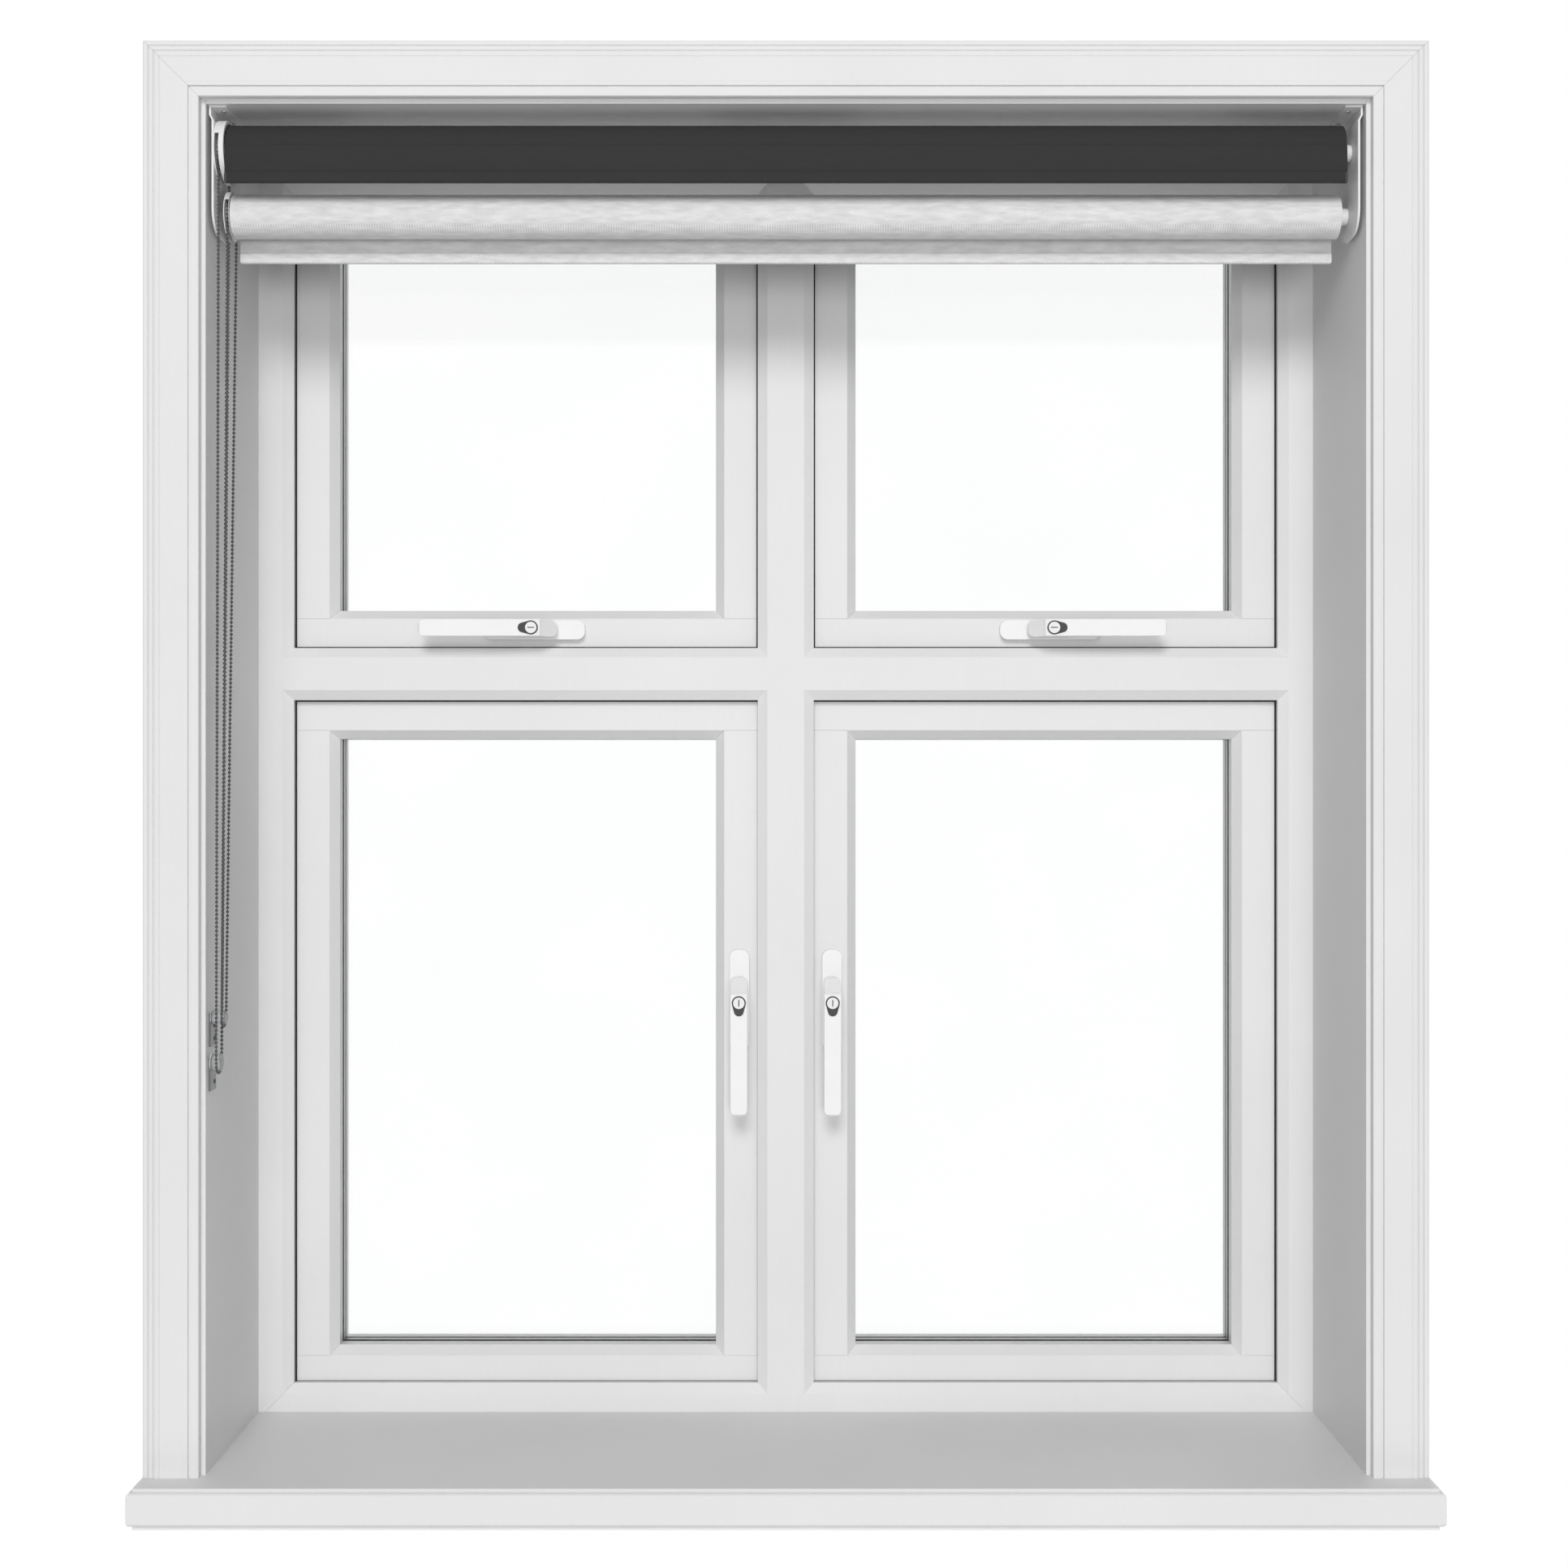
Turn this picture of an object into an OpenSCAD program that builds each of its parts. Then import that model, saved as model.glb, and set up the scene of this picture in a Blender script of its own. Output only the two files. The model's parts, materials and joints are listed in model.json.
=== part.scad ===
// Four-light casement window in a panelled reveal: two side-hung lights below two top-hung
// lights, with architrave, window board, a blackout roller blind and a sheer roller blind.
// X runs across the window, +Y points out of doors and +Z up. The origin lies under the window
// board, on the middle line, in the plane of the wall's room face.

/* [Lights] */
// Width of one light, between the frame lips
light_w = 481; // [400:1:620]
// Height of the two lower lights
lower_light_h = 708; // [560:1:950]
// Height of the two upper lights
upper_light_h = 470; // [380:1:640]
// Width of the mullion between its lips
mullion_w = 58; // [52:1:80]
// Height of the transoms between their lips
transom_h = 54; // [50:1:80]

/* [Outer frame] */
// Width of the outer frame members
frame_w = 55; // [50:1:75]
// Jamb width that shows inside the lining
jamb_show = 35; // [26:1:45]
// Head and cill height that shows inside the lining and over the board
rail_show = 28; // [22:1:38]
// Width of the bevel on each frame lip
lip_bevel_w = 10; // [6:1:12]
// Depth of the bevel on each frame lip
lip_bevel_d = 7; // [3:1:9]
// Thickness of the lip that the sashes close against
lip_t = 13; // [11:1:16]
// How far a sash laps behind the lip
lap = 8; // [6:1:10]
// Gap between a sash edge and its rebate
edge_gap = 5; // [4.5:0.5:6]

/* [Sashes] */
// Thickness of a sash
sash_t = 56; // [54:1:64]
// Width of a stile beside the lip
stile_show = 35; // [33:1:50]
// Height of a rail beside the lip
sash_rail_show = 31; // [29:1:50]
// Height of the bottom rail of a lower sash beside the lip
low_rail_show = 26; // [24:1:50]
// Width of the glazing bead
bead_w = 9; // [7:1:12]
// Depth of the bevel on the glazing bead
bead_bevel_d = 10; // [4:1:14]
// Thickness of the sash's outer glazing lip
glass_lip_t = 12; // [8:1:14]
// Thickness of the sealed glass unit
glass_unit_t = 20; // [18:1:24]
// Thickness of one pane
pane_t = 4; // [3:1:6]

/* [Seals] */
// Thickness of the closed weather seal
seal_t = 3; // [2:0.5:4]
// How far the seal stands out past the lip
seal_proud = 1.5; // [0.5:0.5:2.5]

/* [Handles] */
// Height of the lower spindles over the cill lip
side_handle_z = 397; // [330:1:440]
// Distance of each spindle from the frame lip
handle_inset = 19; // [19:1:24]
// Distance of the left upper spindle from its light's middle, towards the mullion
left_top_off = 9; // [0:0.5:20]
// Distance of the right upper spindle from its light's middle, away from the mullion
right_top_off = 5; // [0:0.5:20]
// Length of the handle's base plate
base_l = 104; // [90:1:120]
// Width of the handle's base plate
base_w = 20; // [18:1:24]
// Thickness of the handle's base plate
base_t = 8; // [6:1:10]
// Width of the lever
lever_w = 17; // [15:1:20]
// Distance from the spindle to the free end of the lever
lever_reach = 116; // [90:1:130]
// Distance from the spindle to the lever's sloping head
lever_head = 24.5; // [22:0.5:24.5]
// Distance from the sash face to the front of the lever
lever_out = 42; // [38:1:50]
// Thickness of the lever's grip
grip_t = 10; // [8:1:12]
// Radius of the key barrel
barrel_r = 5.8; // [5:0.1:6.2]
// Travel of the locking rod over a quarter turn of the handle
rod_travel = 18; // [12:1:20]
// How much shorter a locking rod is than its light
rod_short = 81; // [76:1:120]

/* [Hinges] */
// Length of a hinge
hinge_l = 75; // [60:1:100]
// Outer radius of the knuckles
knuckle_r = 5; // [4.5:0.5:6]
// Radius of the hinge pin
pin_r = 2.5; // [2:0.5:3]
// Width of a hinge leaf
leaf_w = 27; // [20:1:30]
// Thickness of a hinge leaf
leaf_t = 2; // [1.5:0.5:2.5]

/* [Reveal] */
// Depth of the reveal, from the wall's room face to the window frame
reveal_d = 206; // [140:1:300]
// Thickness of the lining boards
lining_t = 18; // [15:1:20]
// Width of the architrave
architrave_w = 53; // [50:1:90]
// Margin of lining edge left showing beside the architrave
quirk = 4; // [3:1:8]
// Height of the window board's nosing
board_h = 38; // [34:1:50]
// Thickness of the board behind its nosing
board_t = 27; // [20:1:27]
// Overhang of the board's top edge past the wall
board_out = 40; // [30:1:70]
// How far the nosing's fat middle stands out past its top edge
nosing_out = 5; // [3:1:6]
// Projection of the outer sill past the frame
sill_out = 47; // [30:1:80]

/* [Blinds] */
// Radius of the rolled blackout cloth
blackout_r = 26; // [24:1:27]
// Radius of the rolled sheer cloth
sheer_r = 21; // [19:1:22]
// Gap between the cloth's edge and the lining, with room for the chain drive
cloth_gap = 16; // [16:1:30]
// Drop of the blackout hem below its roller's axis
blackout_drop = 35.5; // [34:0.5:60]
// Drop of the sheer hem below its roller's axis
sheer_drop = 40; // [34:0.5:60]
// Height of the lower end of the blackout chain over the window board
blackout_chain_z = 386; // [250:1:420]
// Height of the lower end of the sheer chain over the window board
sheer_chain_z = 428; // [422:1:600]

/* [Hidden] */
$fn = 48;
eps = 0.01;
// Open seam between boards, rails, stiles and mitres
seam = 0.2;

// Heights and widths of the whole window
open_w = 2 * (jamb_show + light_w) + mullion_w;
open_h = 2 * rail_show + lower_light_h + transom_h + upper_light_h;
board_top = board_h;
open_top = board_top + open_h;
low_lip = board_top + rail_show;
transom_lip = low_lip + lower_light_h;
up_lip = transom_lip + transom_h;
head_lip = up_lip + upper_light_h;
jamb_lip = mullion_w / 2 + light_w;
light_x = (mullion_w + light_w) / 2;
frame_out_x = jamb_lip + frame_w;
frame_bottom = low_lip - frame_w;
frame_top = head_lip + frame_w;

// Depths, from the room outwards
frame_y = reveal_d;
lip_back = frame_y + lip_t;
sash_y = lip_back + seal_t;
sash_back = sash_y + sash_t;
frame_back = sash_back;
glass_y = sash_back - glass_lip_t - glass_unit_t;
rebate = lap + edge_gap;
sash_w = light_w + 2 * lap;
glass_bite = 3;

// Locking rod in the closing edge of each sash
rod_w = 14;
rod_t = 2.5;
rod_clear = 0.3;
rod_y = sash_y + 28;
rod_z = low_lip + lower_light_h / 2;
cam_r = 3.5;
cam_h = 2.5;
rod_l = light_w - rod_short;
cam_at = rod_l / 2 - 45;
keep_l = 60;
keep_w = 16;
keep_t = 1;

// Handle parts
journal_r = 5;
run_clear = 0.05;
sash_bore_r = 6;
journal_l = base_t + 10;
badge_t = 0.6;
barrel_l = 11;
keyway_w = 1;
keyway_l = 7;
keyway_d = 2;

// Hinges, on the outer faces of frame and sash
hinge_y = frame_back + knuckle_r;
hinge_off = lap + edge_gap / 2;
knuckle_gap = 0.4;
knuckle_l = hinge_l / 3;
leaf_clear = 0.4;
hinge_end = 0.2;

// Frame fixings through the jambs
fixing_r = 3.75;
fixing_y = frame_y + 44;
fixing_in = 196;

// Nosing of the window board
fillet_low = 3.7;
fillet_top = 3.2;
nosing_round = 4;
board_x = jamb_lip + jamb_show + quirk + architrave_w;

// Blind fittings
strip_t = 2;
bracket_front = 6;
bracket_d = 66;
bracket_round = 22;
bracket_below = 118;
bracket_in = open_w / 2 - 6;
flange_w = 12;
flange_t = 1.5;
joggle = 2.5;
joggle_z = 9;
cloth_x = open_w / 2 - cloth_gap;
cloth_t = 0.6;
cloth_clear = 0.1;
blackout_yz = [33, open_top - 37.5];
sheer_yz = [46, open_top - 94.7];
drive_in = bracket_in - 0.1;
drive_out = cloth_x + 0.6;
blackout_cup_r = 30;
sheer_cup_r = 23.5;
cup_wall = 3;
cup_back = 0.8;
slot_w = 3.8;
slot_up = 12;
sprocket_w = 3.6;
// Chains run in two planes, so that one passes beside the other's wheel
blackout_plane = drive_in - cup_back - slot_w / 2 - 0.1;
sheer_plane = drive_out + slot_w / 2 + 0.1;
sheer_cup_in = sheer_plane + slot_w / 2 + cup_back + 0.1;
blackout_wheel_r = 20;
sheer_wheel_r = 17;
chain_r = 1.1;
bead_r = 1.6;
seat_clear = 0.15;
axle_r = 3;
tube_wall = 1.5;
blackout_tube_r = 16;
sheer_tube_r = 14;
plug_l = 14;
hub_r = 9;
idler_r = 5;
hem_t = 5;
hem_h = 11;
blackout_foot = [14, board_top + blackout_chain_z];
sheer_foot = [15, board_top + sheer_chain_z];
blackout_foot_r = 10;
sheer_foot_r = 8;
cleat_t = 2;
cleat_w = 20;
cleat_h = 31;
cleat_front = 4;
cleat_below = 27;

// ---- Shared shapes -------------------------------------------------------------------

// One member of a mitred ring, along X from 0 to l. The section is drawn as [y, u], where u
// runs inwards from the outer edge. cut0 and cut1 are 1 for a mitred end and 0 for a square one.
module mitred(l, section, w, cut0 = 1, cut1 = 1) {
    y0 = min([for (p = section) p[0]]) - 1;
    y1 = max([for (p = section) p[0]]) + 1;
    intersection() {
        rotate([90, 0, 90]) linear_extrude(l) polygon(section);
        translate([0, y1, 0]) rotate([90, 0, 0]) linear_extrude(y1 - y0)
            polygon([[cut0 * seam / 2, 0], [l - cut1 * seam / 2, 0], [l - cut1 * (w + seam / 2), w],
                [cut0 * (w + seam / 2), w]]);
    }
}

// The four sides of a ring whose outer rectangle is w by h, from its lower left corner
module ring_bottom(w, h, section, d) { mitred(w, section, d); }
module ring_top(w, h, section, d) { translate([w, 0, h]) rotate([0, 180, 0]) mitred(w, section, d); }
module ring_left(w, h, section, d) { translate([0, 0, h]) rotate([0, 90, 0]) mitred(h, section, d); }
module ring_right(w, h, section, d) { translate([w, 0, 0]) rotate([0, -90, 0]) mitred(h, section, d); }
module ring(w, h, section, d) {
    ring_bottom(w, h, section, d);
    ring_top(w, h, section, d);
    ring_left(w, h, section, d);
    ring_right(w, h, section, d);
}

// Puts a left-hand shape on side s: -1 leaves it, 1 mirrors it
module side(s) {
    if (s < 0) children();
    else mirror([1, 0, 0]) children();
}

// A cylinder along X from x0 to x1 at [y, z]
module x_rod(x0, x1, yz, r) {
    translate([x0, yz[0], yz[1]]) rotate([0, 90, 0]) cylinder(r = r, h = x1 - x0);
}

// ---- Outer frame ---------------------------------------------------------------------

frame_section = [
    [frame_y, 0], [frame_y, frame_w - lip_bevel_w], [frame_y + lip_bevel_d, frame_w],
    [lip_back, frame_w], [lip_back, frame_w - rebate], [frame_back, frame_w - rebate],
    [frame_back, 0]
];

module frame_place() {
    translate([-frame_out_x, 0, frame_bottom]) children();
}

module fixing_holes() {
    for (z = [frame_bottom + fixing_in, frame_top - fixing_in])
        x_rod(-frame_out_x - 1, -jamb_lip + 1, [fixing_y, z], fixing_r);
}

module jamb(s) {
    color("white") side(s) difference() {
        frame_place() ring_left(2 * frame_out_x, frame_top - frame_bottom, frame_section, frame_w);
        fixing_holes();
    }
}

module frame_head() {
    color("white") frame_place()
        ring_top(2 * frame_out_x, frame_top - frame_bottom, frame_section, frame_w);
}

module frame_cill() {
    color("white") frame_place()
        ring_bottom(2 * frame_out_x, frame_top - frame_bottom, frame_section, frame_w);
}

// Section of a bar with a lip on both sides, w wide between the lips, as [y, u]
function bar_section(w) = [
    [frame_y + lip_bevel_d, 0], [frame_y, lip_bevel_w], [frame_y, w - lip_bevel_w],
    [frame_y + lip_bevel_d, w], [lip_back, w], [lip_back, w - rebate],
    [frame_back, w - rebate], [frame_back, rebate], [lip_back, rebate], [lip_back, 0]
];

module mullion_bar() {
    translate([mullion_w / 2, 0, frame_bottom + 2]) rotate([0, -90, 0]) rotate([90, 0, 90])
        linear_extrude(frame_top - frame_bottom - 4) polygon(bar_section(mullion_w));
}

module mullion() {
    color("white") difference() {
        mullion_bar();
        frame_head();
        frame_cill();
    }
}

module transoms() {
    color("white") for (s = [-1, 1]) side(s) difference() {
        translate([-frame_out_x + 2, 0, transom_lip]) rotate([90, 0, 90])
            linear_extrude(frame_out_x - 2) polygon(bar_section(transom_h));
        frame_place() ring_left(2 * frame_out_x, frame_top - frame_bottom, frame_section, frame_w);
        mullion_bar();
    }
}

module outer_sill() {
    drip_r = 3;
    top_back = frame_back + sill_out;
    color("white") difference() {
        translate([-frame_out_x, 0, 0]) rotate([90, 0, 90]) linear_extrude(2 * frame_out_x)
            polygon([
                [frame_y + 8, 0], [top_back, 0], [top_back, 14], [top_back - 5, 18],
                [frame_back, frame_bottom + 18], [frame_back, frame_bottom], [frame_y + 8, frame_bottom]
            ]);
        x_rod(-frame_out_x - 1, frame_out_x + 1, [top_back - 14, 0], drip_r);
    }
}

// Seal ring of one light: in is how far it stands past the lip on [left, right, bottom, top]
module seal_ring(x0, z0, h, in) {
    hide = 6;
    translate([x0 - hide, lip_back, z0 - hide]) difference() {
        cube([light_w + 2 * hide, seal_t - 0.1, h + 2 * hide]);
        translate([hide + in[0], -1, hide + in[2]])
            cube([light_w - in[0] - in[1], seal_t + 2, h - in[2] - in[3]]);
    }
}

module weather_seals() {
    p = seal_proud;
    color("#202020") for (s = [-1, 1]) side(s) {
        seal_ring(-jamb_lip, low_lip, lower_light_h, [p, 0, 0, p]);
        seal_ring(-jamb_lip, up_lip, upper_light_h, [p, p, p, p]);
    }
}

// ---- Sashes --------------------------------------------------------------------------
// up is 0 for a lower, side-hung sash and 1 for an upper, top-hung one

function lip_z(up) = up ? up_lip : low_lip;
function light_h(up) = up ? upper_light_h : lower_light_h;
function low_rail(up) = lap + (up ? sash_rail_show : low_rail_show);
function handle_x(s, up) = up ? light_x + (s < 0 ? -left_top_off : right_top_off)
    : mullion_w / 2 + handle_inset;
function handle_z(up) = up ? up_lip + handle_inset : low_lip + side_handle_z;

stile_w = lap + stile_show;
top_rail = lap + sash_rail_show;

// Moves to the lower left outer corner of the left sash
module sash_place(up) {
    translate([-jamb_lip - lap, 0, lip_z(up) - lap]) children();
}

module rod_groove(s, up) {
    l = rod_l + 2 * rod_travel + 2;
    w = rod_w + 2 * rod_clear;
    d = rod_t + rod_clear;
    if (up) translate([-handle_x(s, up) - l / 2, rod_y - w / 2, lip_z(up) - lap - 1])
        cube([l, w, d + 1]);
    else translate([-mullion_w / 2 + lap - d, rod_y - w / 2, rod_z - l / 2])
        cube([d + 1, w, l]);
}

module spindle_bore(s, up) {
    translate([-handle_x(s, up), sash_y - 1, handle_z(up)]) rotate([-90, 0, 0])
        cylinder(r = sash_bore_r, h = journal_l + 2);
}

// Glazing lip of a rail, from height z, between the lips of the stiles
module rail_lip(z) {
    in = stile_w + bead_w + seam;
    translate([in, sash_back - glass_lip_t, z])
        cube([sash_w - 2 * in, glass_lip_t, bead_w + eps]);
}

// Two stiles between two rails, each with a glazing lip on its outer side
module sash(s, up) {
    h = light_h(up) + 2 * lap;
    low = low_rail(up);
    color("#f4f4f4") side(s) difference() {
        sash_place(up) {
            translate([0, sash_y, 0]) cube([sash_w, sash_t, low]);
            rail_lip(low - eps);
        }
        rod_groove(s, up);
        spindle_bore(s, up);
    }
    color("#f4f4f4") side(s) sash_place(up) {
        translate([0, sash_y, h - top_rail]) cube([sash_w, sash_t, top_rail]);
        rail_lip(h - top_rail - bead_w);
    }
    color("#f4f4f4") side(s) difference() {
        sash_place(up) for (right = [0, 1])
            translate([right ? sash_w : 0, 0, low + seam]) mirror([right, 0, 0]) {
                translate([0, sash_y, 0]) cube([stile_w, sash_t, h - low - top_rail - 2 * seam]);
                translate([stile_w - eps, sash_back - glass_lip_t, 0])
                    cube([bead_w + eps, glass_lip_t, h - low - top_rail - 2 * seam]);
            }
        rod_groove(s, up);
        spindle_bore(s, up);
    }
}

bead_section = [
    [sash_y, 0], [sash_y + bead_bevel_d, bead_w], [glass_y, bead_w], [glass_y, 0]
];

module beads(s, up) {
    color("white") side(s) sash_place(up) translate([stile_w, 0, low_rail(up)])
        ring(sash_w - 2 * stile_w, light_h(up) + 2 * lap - low_rail(up) - top_rail, bead_section, bead_w);
}

// Two panes of one sealed unit
module glass(s, up) {
    w = sash_w - 2 * stile_w - 2 * glass_bite;
    h = light_h(up) + 2 * lap - low_rail(up) - top_rail - 2 * glass_bite;
    color([0.8, 0.9, 0.95, 0.3]) side(s) sash_place(up)
        for (y = [glass_y, glass_y + glass_unit_t - pane_t])
            translate([stile_w + glass_bite, y, low_rail(up) + glass_bite]) cube([w, pane_t, h]);
}

// ---- Handles and locks ---------------------------------------------------------------
// Drawn with the spindle at the origin, the sash face at y = 0 and the lever pointing down

module handle_place(s, up) {
    side(s) translate([-handle_x(s, up), sash_y, handle_z(up)]) rotate([0, up ? 90 : 0, 0]) children();
}

// Rounded bar in the XZ plane, from z0 to z1, extruded towards the room from y to y - t
module rounded_bar(w, z0, z1, r, y, t) {
    translate([0, y, 0]) rotate([90, 0, 0]) linear_extrude(t) hull()
        for (x = [-1, 1], z = [z0 + r, z1 - r]) translate([x * (w / 2 - r), z]) circle(r = r);
}

module handle_base(s, up) {
    color("#fafafa") handle_place(s, up) difference() {
        rounded_bar(base_w, -base_l / 2, base_l / 2, 8, 0, base_t);
        translate([0, 1, 0]) rotate([90, 0, 0]) cylinder(r = journal_r + run_clear, h = base_t + 2);
    }
}

// Side view of the lever as [y, z]: sloping head, grip and open finger gap
lever_side = [
    [-base_t - 0.2, lever_head - 8.5], [-base_t - 2, lever_head - 7.5], [-base_t - 8.5, lever_head],
    [-base_t - 11, lever_head - 1], [-lever_out + 6, 11],
    [-lever_out + 2, 8.6], [-lever_out, 4], [-lever_out, -lever_reach + 40],
    [-lever_out + 0.6, -lever_reach + 2], [-lever_out + 2.5, -lever_reach],
    [-lever_out + grip_t - 2, -lever_reach], [-lever_out + grip_t, -lever_reach + 2.5],
    [-lever_out + grip_t, -30], [-lever_out + grip_t + 3, -24],
    [-base_t - 7, -18], [-base_t - 0.2, -15.5]
];

module lever_blank() {
    intersection() {
        translate([-lever_w / 2, 0, 0]) rotate([90, 0, 90]) linear_extrude(lever_w) polygon(lever_side);
        rounded_bar(lever_w, -lever_reach, lever_head, 7, 0, lever_out + 1);
    }
}

module badge(r) {
    translate([0, -lever_out + 1, 0]) rotate([90, 0, 0]) linear_extrude(1 + badge_t) hull() {
        circle(r = r);
        translate([0, -9]) circle(r = r - 2.8);
    }
}

module handle(s, up) {
    color("white") handle_place(s, up) {
        difference() {
            union() {
                lever_blank();
                badge(7);
            }
            translate([0, -lever_out + barrel_l, 0]) rotate([90, 0, 0])
                cylinder(r = barrel_r + run_clear, h = barrel_l + 2);
        }
        translate([0, journal_l - base_t, 0]) rotate([90, 0, 0]) cylinder(r = journal_r, h = journal_l + 0.2);
    }
}

module lock(s, up) {
    proud = badge_t + 0.4;
    color("silver") handle_place(s, up) difference() {
        translate([0, -lever_out + barrel_l - 0.1, 0]) rotate([90, 0, 0])
            cylinder(r = barrel_r, h = barrel_l - 0.1 + proud);
        translate([-keyway_w / 2, -lever_out - proud - 1, -keyway_l / 2])
            cube([keyway_w, keyway_d + 1, keyway_l]);
    }
}

// Rod with two cams in the closing edge; its length runs along Z from the middle
module rod_shape() {
    translate([-rod_t, -rod_w / 2, -rod_l / 2]) cube([rod_t, rod_w, rod_l]);
    for (i = [-1, 1]) translate([-eps, 0, i * cam_at]) rotate([0, 90, 0])
        cylinder(r = cam_r, h = cam_h + eps);
}

module rod_place(s, up) {
    if (up) side(s) translate([-handle_x(s, up), rod_y, lip_z(up) - lap]) rotate([0, 90, 0]) children();
    else side(s) translate([-mullion_w / 2 + lap, rod_y, rod_z]) children();
}

module locking_rod(s, up) {
    color("silver") rod_place(s, up) rod_shape();
}

module keeps() {
    color("silver") for (s = [-1, 1], up = [0, 1], i = [-1, 1]) rod_place(s, up)
        translate([edge_gap - keep_t, -keep_w / 2, i * cam_at - keep_l / 2])
            cube([keep_t, keep_w, keep_l]);
}

// ---- Hinges --------------------------------------------------------------------------
// Drawn with the pin along Z at the origin, the frame at -X and the sash at +X

module knuckle(z0, z1) {
    translate([0, 0, z0]) difference() {
        union() {
            cylinder(r = knuckle_r, h = z1 - z0);
            translate([-knuckle_r - leaf_clear - 1, -knuckle_r, 0])
                cube([knuckle_r + leaf_clear + 1, leaf_t, z1 - z0]);
        }
        translate([0, 0, -1]) cylinder(r = pin_r + run_clear, h = z1 - z0 + 2);
    }
}

module leaf() {
    translate([-knuckle_r - leaf_clear - leaf_w, -knuckle_r, -hinge_l / 2])
        cube([leaf_w, leaf_t, hinge_l]);
}

module frame_leaf() {
    leaf();
    knuckle(knuckle_l / 2 + knuckle_gap, hinge_l / 2);
    knuckle(-hinge_l / 2, -knuckle_l / 2 - knuckle_gap);
}

module sash_leaf() {
    mirror([1, 0, 0]) {
        leaf();
        knuckle(-knuckle_l / 2, knuckle_l / 2);
    }
}

// The fixed pin is a tight fit in the frame leaf's knuckles and turns in the sash leaf's
module pin() {
    cylinder(r = pin_r, h = hinge_l + 2 * hinge_end, center = true);
    for (i = [-1, 1]) translate([0, 0, i * (hinge_l / 2 + hinge_end + 0.75)])
        cylinder(r = pin_r + 1.3, h = 1.5, center = true);
}

// Both hinges of one left-hand sash, near the ends of its hinged edge
module hinge_place(up) {
    side_in = 110;
    top_in = 80;
    if (up) for (x = [-jamb_lip + top_in, -mullion_w / 2 - top_in])
        translate([x, hinge_y, head_lip + hinge_off]) rotate([0, 90, 0]) children();
    else for (z = [low_lip + side_in, transom_lip - side_in])
        translate([-jamb_lip - hinge_off, hinge_y, z]) children();
}

module frame_leaves() {
    color("silver") for (s = [-1, 1], up = [0, 1]) side(s) hinge_place(up) frame_leaf();
}

module hinge_pins() {
    color("gray") for (s = [-1, 1], up = [0, 1]) side(s) hinge_place(up) pin();
}

module sash_leaves(s, up) {
    color("silver") side(s) hinge_place(up) sash_leaf();
}

// ---- Reveal --------------------------------------------------------------------------

module lining() {
    color("#e8e8e8") {
        for (s = [-1, 1]) side(s) translate([-open_w / 2 - lining_t, 0, board_top])
            cube([lining_t, frame_y - seam, open_h + lining_t]);
        translate([-open_w / 2 + seam, 0, open_top])
            cube([open_w - 2 * seam, frame_y - seam, lining_t]);
    }
}

// Face of the architrave as [y, u]: stepped outer edge, flat field, groove and inner band
architrave_section = [
    [0, 0], [-6.6, 0], [-7.4, 1.2], [-7.4, 4.2], [-6.6, 4.7], [-8, 5.6], [-8.6, 7.4],
    [-8.6, 9.3], [-7.8, 9.8], [-9.1, 11], [-9.7, 13.2], [-9.7, 15], [-9.2, 15.5], [-10, 17],
    [-10, architrave_w - 14.4], [-9.7, architrave_w - 13.4], [-9.7, architrave_w - 10.4],
    [-7.6, architrave_w - 9.8], [-7.6, architrave_w - 8.8], [-9.7, architrave_w - 8.2],
    [-10, architrave_w - 7.4], [-10, architrave_w - 0.8], [-9.2, architrave_w], [0, architrave_w]
];

module architrave() {
    top = open_top + quirk + architrave_w;
    color("#f2f2f2") {
        for (s = [-1, 1]) side(s) translate([-board_x, 0, top]) rotate([0, 90, 0])
            mitred(top - board_top, architrave_section, architrave_w, 1, 0);
        translate([board_x, 0, top]) rotate([0, 180, 0])
            mitred(2 * board_x, architrave_section, architrave_w);
    }
}

// Slab of the nosing from z0 to z1, grown past the board's edge by out at the front and ends
module nosing_slab(z0, z1, out) {
    translate([-board_x - out, -board_out - out, z0]) cube([2 * (board_x + out), board_out + out, z1 - z0]);
}

module window_board() {
    low = fillet_low;
    high = board_top - fillet_top;
    steps = 5;
    color("#f0f0f0") {
        nosing_slab(0, low + eps, 0);
        nosing_slab(high - eps, board_top, 0);
        hull() for (i = [0:steps]) {
            a = 90 * i / steps;
            inset = nosing_round * (1 - sin(a));
            nosing_slab(low + inset, high - inset, nosing_out - nosing_round * (1 - cos(a)));
        }
        translate([-open_w / 2 - lining_t, -eps, board_top - board_t])
            cube([open_w + 2 * lining_t, frame_y + eps, board_t]);
    }
}

// ---- Blinds --------------------------------------------------------------------------

// Bent strip, seen from the front, cut to the bracket's rounded side view
module bracket_shape() {
    z1 = open_top;
    zj = z1 - joggle_z;
    z0 = z1 - bracket_below - 1;
    x = -bracket_in;
    intersection() {
        translate([0, bracket_front + bracket_d, 0]) rotate([90, 0, 0]) linear_extrude(bracket_d)
            polygon([
                [x + flange_w, z1], [x + flange_w, z1 - flange_t], [x - joggle, z1 - flange_t],
                [x - joggle, zj], [x, zj - 4.5], [x, z0], [x - strip_t, z0], [x - strip_t, zj - 4],
                [x - strip_t - joggle, zj + 0.5], [x - strip_t - joggle, z1]
            ]);
        translate([-open_w / 2, 0, 0]) rotate([90, 0, 90]) linear_extrude(30) hull() {
            translate([bracket_front, z1 - 30]) square([bracket_d, 30]);
            for (y = [bracket_front + bracket_round, bracket_front + bracket_d - bracket_round])
                translate([y, z1 - bracket_below + bracket_round]) circle(r = bracket_round, $fn = 32);
        }
    }
}

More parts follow.
